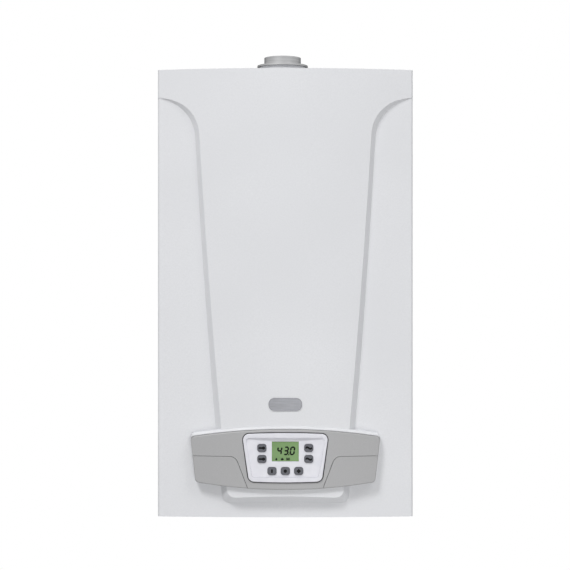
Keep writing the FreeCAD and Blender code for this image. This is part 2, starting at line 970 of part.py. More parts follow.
# Display board, with one switch under each button.
switch_height = "(lcd_thickness - seat_gap - button_flange_thickness - button_travel - switch_slack)"
switches = [
    box(
        f"{x} - switch_side / 2",
        f"-{board_front} - {switch_height}",
        f"{z} - switch_side / 2",
        "switch_side",
        f"{switch_height} + board_gauge / 2",
        "switch_side",
    )
    for x, z in BUTTONS.values()
]
node(
    "display_board",
    join(
        box(
            "-board_half", f"-{board_front}", "board_low", "2 * board_half", "board_gauge",
            "board_high - board_low",
        ),
        *switches,
    ),
)

# Control box: a tray open to the back, with a window behind the bezel and a pivot at each end.
box_tall = "(box_high - box_low)"
tray = box("-box_half", "-box_front", "box_low", "2 * box_half", "box_front - box_back", box_tall)
tray_inside = box(
    "-box_half + box_wall",
    "-box_front + box_wall",
    "box_low + box_wall",
    "2 * (box_half - box_wall)",
    "box_front - box_back",
    f"{box_tall} - 2 * box_wall",
)
tray_window = box(
    "-box_window_half",
    "-box_front - overrun",
    "box_window_low",
    "2 * box_window_half",
    "box_wall + 2 * overrun",
    "box_window_high - box_window_low",
)
pivot_length = "casing_width / 2 - panel_gauge - box_half"
pivots = [
    rod(f"{side} * (box_half - box_wall / 2)", "-pivot_depth", "pivot_height", "pivot_radius",
        f"{pivot_length} + box_wall / 2", along)
    for side, along in ((-1, "-X"), (1, "+X"))
]
node("control_box", join(cut(tray, tray_inside, tray_window), *pivots))

# Rear cover of the control box, with a lip inside the tray and posts for the main board.
main_board_low = "(box_low + main_board_margin)"
main_board_high = "(box_high - main_board_margin)"
rim_inset = "(box_wall + seat_gap)"
cover_rim = cut(
    box(
        f"-box_half + {rim_inset}", "-box_back - cover_lip", f"box_low + {rim_inset}",
        f"2 * (box_half - {rim_inset})", "cover_lip", f"{box_tall} - 2 * {rim_inset}",
    ),
    box(
        f"-box_half + {rim_inset} + cover_lip", "-box_back - cover_lip - overrun",
        f"box_low + {rim_inset} + cover_lip",
        f"2 * (box_half - {rim_inset} - cover_lip)", "cover_lip + 2 * overrun",
        f"{box_tall} - 2 * ({rim_inset} + cover_lip)",
    ),
)
posts = [
    rod(
        f"{side} * (main_board_half - 2 * post_radius)", "-box_back", z, "post_radius", "main_board_lift",
        "-Y",
    )
    for side in (-1, 1)
    for z in (f"{main_board_low} + 2 * post_radius", f"{main_board_high} - 2 * post_radius")
]
node(
    "control_box_cover",
    join(
        box("-box_half", "-box_back", "box_low", "2 * box_half", "box_wall", box_tall), cover_rim, *posts,
    ),
)

# Main board: a transformer, a row of relays, two capacitors and a row of plugs.
on_board = "-box_back - main_board_lift - board_gauge"
relays = [
    box(
        f"main_board_half / 3 - {i} * relay_pitch", f"{on_board} - relay_height",
        f"{main_board_low} + plug_height * 2",
        "relay_width", "relay_height", "relay_length",
    )
    for i in range(4)
]
plug_pitch = "(2 * (main_board_half - plug_depth) - plug_length) / (plug_count - 1)"
plugs = [
    box(
        f"-main_board_half + plug_depth + {i} * {plug_pitch}", f"{on_board} - plug_height",
        main_board_low,
        "plug_length", "plug_height", "plug_depth",
    )
    for i in range(int(value("plug_count")))
]
capacitors = [
    rod(f"main_board_half * 2 / 3 + {i} * 3 * capacitor_radius", on_board, "(box_low + box_high) / 2",
        "capacitor_radius", "capacitor_height", "-Y")
    for i in range(2)
]
transformer = box(
    "-main_board_half + plug_depth", f"{on_board} - transformer_height",
    f"{main_board_low} + plug_height * 2",
    "transformer_side", "transformer_height", "transformer_side",
)
node(
    "main_board",
    join(
        box("-main_board_half", on_board, main_board_low, "2 * main_board_half", "board_gauge",
            f"{main_board_high} - {main_board_low}"),
        transformer, *relays, *plugs, *capacitors,
    ),
)


# Side panels: folded sheets with a flange at the front and at the back.
side_front = "casing_depth - front_return - front_joint_gap"
for side, label in ((-1, "left_side_panel"), (1, "right_side_panel")):
    outer_x = f"{side} * casing_width / 2"
    inner_x = f"{side} * (casing_width / 2 - panel_gauge)"
    lip_x = f"{side} * (casing_width / 2 - side_flange)"
    front_y, back_y = f"-({side_front})", "-frame_gauge"
    points = [
        (outer_x, front_y),
        (lip_x, front_y),
        (lip_x, f"{front_y} + panel_gauge"),
        (inner_x, f"{front_y} + panel_gauge"),
        (inner_x, f"{back_y} - panel_gauge"),
        (lip_x, f"{back_y} - panel_gauge"),
        (lip_x, back_y),
        (outer_x, back_y),
    ]
    node(label, prism("XY_Plane", points, "0", "casing_height"))

# Rear frame on the wall: hanging holes, two ribs and two brackets for the chamber.
frame_half = "casing_width / 2 - frame_side_gap"
chamber_back = "(chamber_depth - chamber_reach)"
frame_pieces = [
    box(
        f"-({frame_half})", "-frame_gauge", "-frame_drop",
        f"2 * ({frame_half})", "frame_gauge", "casing_height + frame_drop",
    )
]
hang_holes = []
for side in (-1, 1):
    hang_x = f"{side} * hang_spacing / 2"
    frame_pieces.append(
        rod(hang_x, "0", "hang_height", "hang_boss_radius", "frame_gauge + hang_boss_height", "-Y")
    )
    frame_pieces.append(
        box(
            f"{side} * rib_margin - rib_width / 2", "-frame_gauge - rib_height", "rib_margin",
            "rib_width", "rib_height + frame_gauge / 2", "casing_height - 2 * rib_margin",
        )
    )
    frame_pieces.append(
        box(
            f"{side} * bracket_offset - frame_gauge / 2", f"-{chamber_back}", "bracket_low",
            "frame_gauge", f"{chamber_back} - frame_gauge / 2", "bracket_high - bracket_low",
        )
    )
    hang_holes.append(
        rod(hang_x, "overrun", "hang_height", "hang_hole_radius", "3 * overrun + frame_gauge", "-Y")
    )
node("rear_frame", cut(join(*frame_pieces), *hang_holes))

# Lower crossbar between the side panels.
bar_low = "(panel_gauge + seat_gap)"
bar_half = "(casing_width / 2 - panel_gauge)"
nose = box(
    "-crossbar_nose_half", "-crossbar_front", bar_low,
    "2 * crossbar_nose_half", "crossbar_front - crossbar_waist + overrun", "frame_gauge",
)
strip = box(
    f"-{bar_half}", "-crossbar_waist", bar_low, f"2 * {bar_half}", "crossbar_waist - crossbar_back",
    "frame_gauge"
)
upright = box(
    f"-{bar_half}", "-crossbar_back - frame_gauge", bar_low, f"2 * {bar_half}", "frame_gauge",
    "crossbar_rise",
)
slot_half = "(screw_radius + screw_hole_clearance)"
slots = [
    box(
        f"{side} * screw_offset - {slot_half}", "-crossbar_front - overrun", "0",
        f"2 * {slot_half}", "crossbar_front + overrun - casing_depth + screw_setback + screw_radius",
        "overrun",
    )
    for side in (-1, 1)
]
node("lower_crossbar", cut(join(nose, strip, upright), *slots))

# The two casing screws, their heads under the casing.
screw_heads = casing_screw_parts("screw_head_radius", "screw_head_height", "-screw_head_height")
screw_shanks = casing_screw_parts("screw_radius", "screw_length", "-screw_head_height / 2")
node("casing_screws", group(*[join(head, shank) for head, shank in zip(screw_heads, screw_shanks)]))

# Top panel, lying on the chamber between the flanges of the side panels, with a raised neck for the flue.
top_low = "casing_height - panel_gauge"
top_back = "(frame_gauge + panel_gauge + seat_gap)"
top_reach = f"({side_front} - panel_gauge - seat_gap)"
flue_neck = rod("flue_offset", "-flue_depth", top_low, "collar_neck", "panel_gauge + collar_stand")
flue_opening = rod(
    "flue_offset", "-flue_depth", f"{top_low} - overrun", "flue_hole", "collar_stand + 3 * overrun",
)
plug_opening = rod(
    "plug_offset", "-flue_depth", f"{top_low} - overrun", "plug_radius + plug_fit", "4 * overrun",
)
node(
    "top_panel",
    cut(
        join(
            box(
                "top_margin - casing_width / 2", f"-{top_reach}", top_low,
                "casing_width - 2 * top_margin", f"{top_reach} - {top_back}", "panel_gauge",
            ),
            flue_neck,
        ),
        flue_opening,
        plug_opening,
    ),
)

# Flue spigot with its collar, and the plug of the second opening.
collar_low = "(casing_height + collar_stand)"
collar_top = f"({collar_low} + collar_gauge)"
node(
    "flue_spigot",
    turned(
        [
            ("flue_bore", "flue_low"),
            ("flue_radius", "flue_low"),
            ("flue_radius", collar_low),
            ("collar_radius", collar_low),
            ("collar_radius", collar_top),
            ("flue_radius", collar_top),
            ("flue_radius", "flue_top"),
            ("flue_bore", "flue_top"),
        ],
        "flue_offset", "-flue_depth", "0",
    ),
)
node(
    "air_inlet_cover",
    join(
        rod("plug_offset", "-flue_depth", "casing_height", "plug_flange_radius", "plug_flange_height"),
        rod(
            "plug_offset", "-flue_depth", "casing_height - plug_reach", "plug_radius",
            "plug_reach + plug_flange_height",
        ),
    ),
)

# Pipe rail: a shelf with a flange against the rear frame.
UNIONS = {
    "flow": ("-union_outer", "large_thread"),
    "hot": ("-union_inner", "small_thread"),
    "gas": ("0", "large_thread"),
    "cold": ("union_inner", "small_thread"),
    "return": ("union_outer", "large_thread"),
}
rail_back = "frame_gauge"
shelf = box(
    "-rail_half", "-rail_depth", "rail_low", "2 * rail_half", f"rail_depth - {rail_back}", "rail_gauge",
)
rail_wall = box(
    "-rail_half", f"-{rail_back} - rail_gauge", "rail_low", "2 * rail_half", "rail_gauge", "rail_flange"
)
rail_holes = [
    rod(x, "-union_depth", "0", f"{radius} + union_clearance", "2 * rail_low") for x,
    radius in UNIONS.values()
]
rail_holes.append(
    rod("gauge_x", "-gauge_depth", "0", "gauge_stud_radius + union_clearance", "2 * rail_low"),
)
rail_holes.append(rod("tap_x", "-tap_depth", "0", "tap_stem_radius + tap_clearance", "2 * rail_low"))
node("pipe_rail", cut(join(shelf, rail_wall), *rail_holes))


# Combustion chamber: a folded box with an inner flange round its open front.
chamber_floor = "(chamber_low + chamber_gauge)"
chamber_top = "(casing_height - panel_gauge)"
chamber_tall = f"({chamber_top} - chamber_low)"
screw_tall = f"({chamber_tall} - 2 * cover_screw_inset)"


def centred(half, back, front, low, high):
    """A block across the centre line, between two distances off the wall and two heights."""
    return box(
        f"-({half})", f"-({front})", low, f"2 * ({half})", f"{front} - ({back})", f"{high} - ({low})",
    )


def cover_screw_rods(radius, start, length):
    """A round bar at the place of each cover screw, starting at a distance off the wall."""
    return [
        rod(
            f"{side} * (chamber_half - cover_screw_inset)", f"-({start})",
            f"chamber_low + cover_screw_inset + {row} * {screw_tall} / (cover_screw_rows - 1)",
            radius, length, "-Y",
        )
        for side in (-1, 1)
        for row in range(int(value("cover_screw_rows")))
    ]


screw_bores = cover_screw_rods(
    "cover_screw_radius + screw_hole_clearance", "chamber_depth - overrun", "3 * overrun",
)
pipe_bores = [
    rod(
        "-union_outer", "-flow_depth", "chamber_low - overrun", "water_pipe + pipe_hole_clearance",
        "3 * overrun",
    ),
    rod(
        "union_outer", "-return_depth", "chamber_low - overrun", "water_pipe + pipe_hole_clearance",
        "3 * overrun",
    ),
    rod(
        "0", "-gas_rise_depth", "chamber_low - overrun", "gas_pipe_radius + pipe_hole_clearance",
        "3 * overrun",
    ),
]
chamber_inner_half = "chamber_half - chamber_gauge"
node(
    "chamber_shell",
    cut(
        centred("chamber_half", chamber_back, "chamber_depth", "chamber_low", chamber_top),
        centred(
            chamber_inner_half, f"{chamber_back} + chamber_gauge", "chamber_depth - chamber_gauge",
            chamber_floor, f"{chamber_top} - chamber_gauge",
        ),
        centred(
            "chamber_half - chamber_flange", "chamber_depth - overrun", "chamber_depth + overrun",
            "chamber_low + chamber_flange", f"{chamber_top} - chamber_flange",
        ),
        rod("flue_offset", "-flue_depth", f"{chamber_top} - overrun", "flue_hole", "2 * overrun"),
        rod(
            "plug_offset", "-flue_depth", f"{chamber_top} - overrun", "plug_radius + plug_fit",
            "2 * overrun",
        ),
        *pipe_bores,
        *screw_bores,
    ),
)

# Chamber cover with its sight glass and screws.
cover_front = "chamber_depth + cover_gauge"
node(
    "chamber_cover",
    cut(
        centred(
            "chamber_half + cover_margin", "chamber_depth", cover_front,
            "chamber_low - cover_margin", f"{chamber_top} - cover_margin",
        ),
        rod("-sight_x", "overrun - chamber_depth", "sight_z", "sight_radius", "3 * overrun", "-Y"),
        *cover_screw_rods(
            "cover_screw_radius + screw_hole_clearance", "chamber_depth - overrun", "3 * overrun",
        ),
    ),
)
node(
    "sight_glass",
    join(
        rod(
            "-sight_x", f"-({cover_front})", "sight_z", "sight_radius + sight_rim", "sight_thickness",
            "-Y",
        ),
        rod(
            "-sight_x", "-chamber_depth", "sight_z", "sight_radius - plug_fit",
            "cover_gauge + sight_thickness", "-Y",
        ),
    ),
)
shank_start = f"{cover_front} + cover_screw_head_height / 2 - cover_screw_length"
cover_screw_heads = cover_screw_rods("cover_screw_head", cover_front, "cover_screw_head_height")
cover_screw_shanks = cover_screw_rods("cover_screw_radius", shank_start, "cover_screw_length")
node("cover_screws", group(*[join(*pair) for pair in zip(cover_screw_heads, cover_screw_shanks)]))


# Combustion box on the chamber's floor, with slots for air, lined with ceramic board.
def electrode_rods(radius, start, length):
    return [
        rod(f"{side} * electrode_offset", f"-({start})", "electrode_height", radius, length, "+Y")
        for side in (-1, 1)
    ]


furnace_bore = electrode_rods(
    "electrode_hole", "furnace_front + overrun", "lining_thickness + 2 * overrun",
)
inside = "furnace_half - furnace_gauge"
inside_back = "furnace_back + furnace_gauge"
inside_front = "furnace_front - furnace_gauge"
node(
    "combustion_box",
    cut(
        centred("furnace_half", "furnace_back", "furnace_front", chamber_floor, "furnace_top"),
        centred(inside, inside_back, inside_front, "chamber_low", "furnace_top + overrun"),
        centred(
            "air_slot_half", "furnace_back - overrun", "furnace_front + overrun",
            f"{chamber_floor} + air_slot_low", f"{chamber_floor} + air_slot_high",
        ),
        *furnace_bore,
    ),
)
lining_bore = electrode_rods(
    "electrode_hole", "furnace_front + overrun", "lining_thickness + 2 * overrun",
)
node(
    "ceramic_lining",
    cut(
        centred(inside, inside_back, inside_front, "lining_low", "furnace_top"),
        centred(
            f"{inside} - lining_thickness", f"{inside_back} + lining_thickness",
            f"{inside_front} - lining_thickness",
            "lining_low - overrun", "furnace_top + overrun",
        ),
        *lining_bore,
    ),
)

# Burner: a row of slotted ramps on two tie bars, fed by an injector bar with a nozzle for each ramp.
ramps = []
ramp_slots = []
nozzles = []
for i in range(int(value("ramp_count"))):
    ramp_x = f"({i} - (ramp_count - 1) / 2) * ramp_pitch"
    ramps.append(
        box(
            f"{ramp_x} - ramp_width / 2", "-ramp_front", "ramp_low",
            "ramp_width", "ramp_front - ramp_back", "ramp_high - ramp_low",
        )
    )
    ramp_slots.append(
        box(
            f"{ramp_x} - ramp_slot_width / 2", "-ramp_front + ramp_slot_margin",
            "ramp_high - ramp_slot_depth",
            "ramp_slot_width", "ramp_front - ramp_back - 2 * ramp_slot_margin",
            "ramp_slot_depth + overrun",
        )
    )
    nozzles.append(
        rod(
            ramp_x, "-ramp_front - nozzle_gap", "injector_low + injector_side / 2", "nozzle_radius",
            f"{inside_front} - injector_side / 2 - ramp_front - nozzle_gap", "-Y",
        )
    )
ties = [
    box(f"-({inside})", y, "tie_low", f"2 * ({inside})", "tie_side", "tie_side")
    for y in ("-ramp_front + ramp_slot_margin", "-ramp_back - ramp_slot_margin - tie_side")
]
node("burner_ramps", cut(join(*ramps, *ties), *ramp_slots))
injector_bar = centred(
    "injector_half", f"{inside_front} - injector_side", inside_front, "injector_low",
    "injector_low + injector_side"
)
node("injector_manifold", join(injector_bar, *nozzles))

# Ignition and flame-sensing electrodes, screwed to the front of the combustion box.
electrode_pieces = []
for side, ceramic, wire in zip(
    (-1, 1),
    electrode_rods(
        "electrode_radius", "furnace_front + electrode_flange_thickness / 2", "electrode_reach",
    ),
    electrode_rods("electrode_wire_radius", "furnace_front", "electrode_wire_reach"),
):
    flange = box(
        f"{side} * electrode_offset - electrode_flange / 2",
        "-furnace_front - electrode_flange_thickness",
        "electrode_height - electrode_flange / 2", "electrode_flange", "electrode_flange_thickness",
        "electrode_flange",
    )
    electrode_pieces.append(join(flange, ceramic, wire))
node("electrodes", group(*electrode_pieces))

# Primary exchanger: a finned duct over the combustion box, tubes across it, a header at each end.
fins = [
    box(
        f"({i} - (fin_count - 1) / 2) * fin_pitch - fin_gauge / 2",
        f"-({inside_front}) - furnace_gauge / 2", "fin_low",
        "fin_gauge", f"{inside_front} - ({inside_back}) + furnace_gauge",
        "tube_height - tube_radius - seat_gap - fin_low",
    )
    for i in range(int(value("fin_count")))
]


def tube_rods(radius):
    return [
        rod(
            "-furnace_half - header_width / 2", f"-tube_first - {i} * tube_pitch", "tube_height",
            radius, "2 * furnace_half + header_width", "+X",
        )
        for i in range(int(value("tube_count")))
    ]


duct = cut(
    centred("furnace_half", "furnace_back", "furnace_front", "furnace_top", "exchanger_top"),
    centred(inside, inside_back, inside_front, "furnace_top - overrun", "exchanger_top + overrun"),
    *tube_rods("tube_radius + seal_fit"),
)
node("exchanger_fins", join(duct, *fins))
headers = [
    box(
        x, "-header_front", "tube_height - header_half_height",
        "header_width", "header_front - header_back", "2 * header_half_height",
    )
    for x in ("-furnace_half - header_width", "furnace_half")
]
node("exchanger_tubes", join(*headers, *tube_rods("tube_radius")))


# Flue hood: a wedge over the exchanger that leads to a riser at the back.
def hood_form(inset, low, riser_back, riser_front, roof):
    wedge = [
        (f"{inset} - furnace_front", low),
        ("-riser_front", f"hood_top - {inset}"),
        (f"-furnace_back - {inset}", f"hood_top - {inset}"),
        (f"-furnace_back - {inset}", low),
    ]
    return join(
        prism("YZ_Plane", wedge, f"{inset} - furnace_half", f"2 * (furnace_half - {inset})"),
        centred(f"riser_half - {inset}", riser_back, riser_front, "hood_top - overrun", roof),
    )


node(
    "flue_hood",
    cut(
        hood_form("0", "exchanger_top", "furnace_back", "riser_front", "riser_top"),
        hood_form(
            "hood_gauge", "exchanger_top - overrun", "furnace_back + hood_gauge",
            "riser_front - hood_gauge",
            "riser_top - hood_gauge",
        ),
        rod("fan_x", "overrun - riser_front", "fan_z", "fan_inlet", "2 * overrun", "-Y"),
    ),
)


# Fan: scroll with a plenum under the spigot, motor in front, impeller between.
def scroll_form(inset):
    return join(
        rod("fan_x", f"-riser_front - {inset}", "fan_z", f"scroll_radius - {inset}",
            f"scroll_front - riser_front - 2 * {inset}", "-Y"),
        box(
            f"fan_x - scroll_radius + {inset}", f"{inset} - scroll_front", "fan_z",
            f"duct_width - 2 * {inset}",
            f"scroll_front - riser_front - 2 * {inset}", "duct_top - fan_z",
        ),
        centred(
            f"plenum_half - {inset}", f"flue_depth - plenum_half + {inset}",
            f"flue_depth + plenum_half - {inset}",
            f"plenum_low + {inset} / 2", f"flue_low - {inset}",
        ),
    )


node(
    "fan_scroll",
    cut(
        scroll_form("0"),
        scroll_form("scroll_wall"),
        rod("fan_x", "overrun - riser_front", "fan_z", "fan_inlet", "2 * overrun", "-Y"),
        rod("fan_x", "overrun - scroll_front", "fan_z", "fan_shaft_hole", "2 * overrun", "-Y"),
        rod("flue_offset", "-flue_depth", "flue_low - overrun", "flue_bore - scroll_wall", "2 * overrun"),
    ),
)
motor_ribs = [
    cut(
        rod(
            "fan_x", f"-scroll_front - {i} * motor_rib_gap", "fan_z", "motor_radius + overrun",
            "motor_rib_gap / 2", "-Y",
        ),
        rod(
            "fan_x", "0", "fan_z", "motor_radius - motor_rib_depth", "scroll_front + 2 * motor_length",
            "-Y",
        ),
    )
    for i in (2, 3, 4, 5)
]
node(
    "fan_motor",
    cut(
        rod("fan_x", "-scroll_front", "fan_z", "motor_radius", "motor_length", "-Y"),
        rod(
            "fan_x", "overrun - scroll_front", "fan_z", "fan_shaft + fan_shaft_slack",
            "overrun + fan_shaft_reach", "-Y",
        ),
        *motor_ribs,
    ),
)
plate_start = "(scroll_front - scroll_wall - impeller_gap - impeller_plate)"
blade_back = f"({plate_start} - impeller_width)"


def polar(radius, angle):
    """A point of the front plane, about the fan's axis."""
    return f"fan_x + ({radius}) * cos({angle})", f"fan_z + ({radius}) * sin({angle})"


blades = []
for i in range(int(value("blade_count"))):
    start = f"{i} * 360 / blade_count"
    lean = f"{start} + blade_lean"
    half = "blade_gauge / (2 * impeller_inner) * 180 / pi"
    outline = [
        polar("impeller_inner", f"{start} - {half}"),
        polar("impeller_radius - impeller_rim / 4", f"{lean} - {half}"),
        polar("impeller_radius - impeller_rim / 4", f"{lean} + {half}"),
        polar("impeller_inner", f"{start} + {half}"),
    ]
    blades.append(prism("XZ_Plane", outline, blade_back, "impeller_width + impeller_plate / 2"))
rim = cut(
    rod("fan_x", f"-{blade_back}", "fan_z", "impeller_radius", "impeller_rim", "-Y"),
    rod("fan_x", f"overrun - {blade_back}", "fan_z", "impeller_inner", "4 * overrun", "-Y"),
)
shaft_length = f"scroll_front + fan_shaft_reach - overrun - {plate_start}"
node(
    "fan_impeller",
    join(
        rod("fan_x", f"-{plate_start}", "fan_z", "impeller_radius", "impeller_plate", "-Y"),
        rod(
            "fan_x", f"impeller_width / 2 - {plate_start}", "fan_z", "impeller_hub", "impeller_width / 2",
            "-Y",
        ),
        rod("fan_x", f"-{plate_start}", "fan_z", "fan_shaft", shaft_length, "-Y"),
        rim,
        *blades,
    ),
)

# Air pressure switch on the chamber's side wall, with its hose to the fan.
switch_x = "chamber_gauge - chamber_half"
node(
    "pressure_switch",
    join(
        rod(switch_x, "-switch_depth", "switch_z", "switch_radius", "switch_thickness", "+X"),
        rod(f"{switch_x} + switch_thickness / 2 - switch_rim_height / 2", "-switch_depth", "switch_z",
            "switch_radius + switch_rim", "switch_rim_height", "+X"),
        rod(f"{switch_x} + switch_thickness / 2", "-switch_depth", "switch_z", "stub_radius",
            "switch_thickness / 2 + stub_length", "+X"),
    ),
)
hose_start = f"{switch_x} + switch_thickness + seat_gap"
hose = join(
    cut(
        rod(
            hose_start, "-switch_depth", "switch_z", "hose_radius",
            f"hose_radius - hose_bend - ({hose_start})", "+X",
        ),
        rod(hose_start, "-switch_depth", "switch_z", "stub_radius + seal_fit", "stub_length", "+X"),
    ),
    rod("-hose_bend", "-switch_depth - hose_radius", "switch_z", "hose_radius",
        "switch_depth - flue_depth + 2 * hose_radius", "+Y"),
    rod("-hose_bend - hose_radius", "-flue_depth", "switch_z", "hose_radius",
        "hose_bend + hose_radius + fan_x - scroll_radius", "+X"),
)
node("pressure_hose", hose)

# Expansion vessel: a hollow drum with sloping shoulders with a seam, a stud to the frame and a port below.
vessel_mid = "vessel_thickness / 2"


def drum(inset):
    rim = f"(vessel_radius - {inset})"
    face = "(vessel_radius - vessel_shoulder)"
    far = f"(vessel_thickness - {inset})"
    bend = f"(vessel_shoulder - {inset})"
    return turned(
        [
            ("0", inset),
            (face, inset),
            (rim, f"{inset} + {bend}"),
            (rim, f"{far} - {bend}"),
            (face, far),
            ("0", far),
        ],
        "0", "-vessel_back", "vessel_z", "-Y",
    )


vessel_port = rod(
    "vessel_port_x", f"-vessel_back - {vessel_mid}", "vessel_port_low", "vessel_port_radius",
    "vessel_z - vessel_port_low"
)
vessel_seam = rod(
    "0", f"vessel_seam_height / 2 - vessel_back - {vessel_mid}", "vessel_z",
    "vessel_radius + vessel_seam",
    "vessel_seam_height", "-Y",
)
vessel_stud = rod("0", "-frame_gauge", "vessel_z", "vessel_stud", "vessel_back", "-Y")
node(
    "expansion_vessel",
    join(cut(join(drum("0"), vessel_port, vessel_seam), drum("vessel_wall")), vessel_stud),
)


# Pipe unions: threaded stubs through the rail, each with a flange on it.
def union(x, radius):
    body = join(
        rod(x, "-union_depth", "union_low", radius, "rail_low - union_relief - union_low"),
        rod(
            x, "-union_depth", "union_low", f"{radius} - union_neck", "rail_low + rail_gauge - union_low",
        ),
        rod(
            x, "-union_depth", "rail_low + rail_gauge", f"{radius} + union_flange", "union_flange_height",
        ),
    )
    return cut(
        body,
        rod(
            x, "-union_depth", "union_low - overrun", f"{radius} - union_bore_wall",
            "union_bore_depth + overrun",
        )
    )


node("pipe_unions", group(*[union(x, radius) for x, radius in UNIONS.values()]))
block_low = "(rail_low + rail_gauge + union_flange_height)"


# Brass blocks over the unions, one for flow and hot water, one for return and cold water.
def block(side):
    points = [
        (f"{side} * block_inner", "-block_back"),
        (f"{side} * block_outer", "-block_back"),
        (f"{side} * block_outer", "-block_front"),
        (f"{side} * block_inner", "-block_front"),
    ]
    return prism(
        "XY_Plane", points, block_low, f"block_high - {block_low}", [([0, 1, 2, 3], "block_round")],
    )


node("flow_block", block(-1))
knob_back = "(block_front + safety_body_length + seat_gap)"
safety_bore = rod(
    "safety_x", f"safety_stem_reach + overrun - {knob_back}", "safety_z", "safety_stem + stem_slack",
    "safety_stem_reach + 2 * overrun", "-Y",
)
node(
    "return_block",
    cut(
        join(
            block(1),
            rod(
                "safety_x", "overrun - block_front", "safety_z", "safety_body",
                "overrun + safety_body_length", "-Y",
            ),
        ),
        safety_bore,
        rod("tap_x", "-tap_depth", f"{block_low} - overrun", "tap_stem_radius + stem_slack",
            f"tap_stem_top + overrun - {block_low} + overrun"),
    ),
)


def lobes(x, z, radius, back, front):
    """A round grip with notches in its rim, between two distances off the wall."""
    notches = [
        rod(f"{x} + {radius} * cos({i} * 360 / knob_lobes)", f"overrun - ({back})",
            f"{z} + {radius} * sin({i} * 360 / knob_lobes)", "knob_notch",
            f"{front} - ({back}) + 2 * overrun", "-Y")
        for i in range(int(value("knob_lobes")))
    ]
    return cut(rod(x, f"-({back})", z, radius, f"{front} - ({back})", "-Y"), *notches)


node(
    "safety_knob",
    join(
        lobes(
            "safety_x", "safety_z", "safety_knob_radius", knob_back, f"{knob_back} + safety_knob_length",
        ),
        rod(
            "safety_x", f"safety_stem_reach - {knob_back}", "safety_z", "safety_stem",
            "safety_stem_reach + overrun", "-Y",
        ),
    ),
)

# Filling tap: a notched grip under the rail, its stem in the return block.
tap_notches = [
    rod(
        f"tap_x + tap_radius * cos({i} * 360 / knob_lobes)",
        f"-tap_depth + tap_radius * sin({i} * 360 / knob_lobes)",
        "tap_low - overrun", "knob_notch", "tap_high - tap_low + 2 * overrun",
    )
    for i in range(int(value("knob_lobes")))
]
node(
    "filling_tap",
    join(
        cut(rod("tap_x", "-tap_depth", "tap_low", "tap_radius", "tap_high - tap_low"), *tap_notches),
        rod("tap_x", "-tap_depth", "tap_low / 2", "tap_stem_radius", "tap_stem_top - tap_low / 2"),
    ),
)

# Pressure gauge: a case hung from the rail, open below, with a needle on a pin.
gauge_face = "(gauge_low + gauge_recess)"
node(
    "pressure_gauge",
    cut(
        join(
            rod("gauge_x", "-gauge_depth", "gauge_low", "gauge_radius", "rail_low - gauge_low"),
            rod("gauge_x", "-gauge_depth", "rail_low - overrun", "gauge_stud_radius",
                "gauge_stud_top - rail_low + overrun"),
        ),
        rod(
            "gauge_x", "-gauge_depth", "gauge_low - overrun", "gauge_radius - gauge_wall",
            "gauge_recess + overrun",
        ),
        rod("gauge_x", "-gauge_depth", "gauge_low", "needle_pin + needle_pin_slack",
            "gauge_recess + needle_pin_reach + needle_gap"),
    ),
)
needle_low = f"({gauge_face} - needle_gap - needle_gauge)"
node(
    "gauge_needle",
    join(
        rod("gauge_x", "-gauge_depth", needle_low, "needle_hub", "needle_gauge"),
        rod(
            "gauge_x", "-gauge_depth", needle_low, "needle_pin",
            "needle_gauge + needle_gap + needle_pin_reach",
        ),
        box("gauge_x - needle_width / 2", "-gauge_depth - needle_length", needle_low,
            "needle_width", "needle_length + needle_tail", "needle_gauge"),
    ),
)

# Plate exchanger: a core with lipped plates and two ports to the blocks.
plates = [
    centred(
        "plates_half", f"plates_back + {i} * plate_pitch",
        f"plates_back + {i} * plate_pitch + plate_gauge",
        "plates_low", "plates_high",
    )
    for i in range(int(value("plate_count")))
]
plates_core = centred(
    "plates_half - plate_lip", "plates_back", "plates_front", "plates_low + plate_lip",
    "plates_high - plate_lip"
)
plates_ports = [
    rod(f"{side} * plates_port_x", "overrun - plates_front", "plates_port_z", "plates_port_radius",
        "block_back - plates_front + overrun", "-Y")
    for side in (-1, 1)
]
node("plate_exchanger", join(plates_core, *plates, *plates_ports))

# Diverter motor on the flow block.
half_side = "diverter_side / 2"
diverter_points = [
    (f"-diverter_x + {a} * {half_side}", f"-union_depth + {b} * {half_side}")
    for a, b in ((1, 1), (-1, 1), (-1, -1), (1, -1))
]
node(
    "diverter_motor",
    join(
        rod(
            "-diverter_x", "-union_depth", "block_high", "diverter_neck",
            "diverter_neck_height + overrun",
        ),
        prism("XY_Plane", diverter_points, "block_high + diverter_neck_height", "diverter_height",
              [([0, 1, 2, 3], "diverter_round")]),
    ),
)

# Pump: volute on the return block, wet motor in front, rotor between them.
pump_x = "union_outer"
pump_neck_depth = "(volute_back + volute_front) / 2"
node(
    "pump_volute",
    cut(
        join(
            rod(pump_x, "-volute_back", "pump_z", "volute_radius", "volute_front - volute_back", "-Y"),
            rod(pump_x, f"-{pump_neck_depth}", "block_high", "neck_radius", "pump_top - block_high"),
        ),
        rod(pump_x, "-volute_back - volute_wall", "pump_z", "volute_cavity",
            "volute_front - volute_back - 2 * volute_wall", "-Y"),
        rod(
            pump_x, "2 * volute_wall - volute_front", "pump_z", "pump_shaft_hole", "3 * volute_wall",
            "-Y",
        ),
    ),
)
node(
    "pump_motor",
    cut(
        join(
            rod(pump_x, "-volute_front", "pump_z", "pump_motor_radius", "pump_motor_length", "-Y"),
            rod(
                pump_x, "-volute_front", "pump_z", "pump_cap_radius",
                "pump_motor_length + pump_cap_height", "-Y",
            ),
        ),
        rod(pump_x, "overrun - volute_front", "pump_z", "pump_shaft + pump_shaft_slack",
            "pump_shaft_reach + 2 * overrun", "-Y"),
    ),
)
rotor_front = "(volute_front - volute_wall - rotor_gap)"
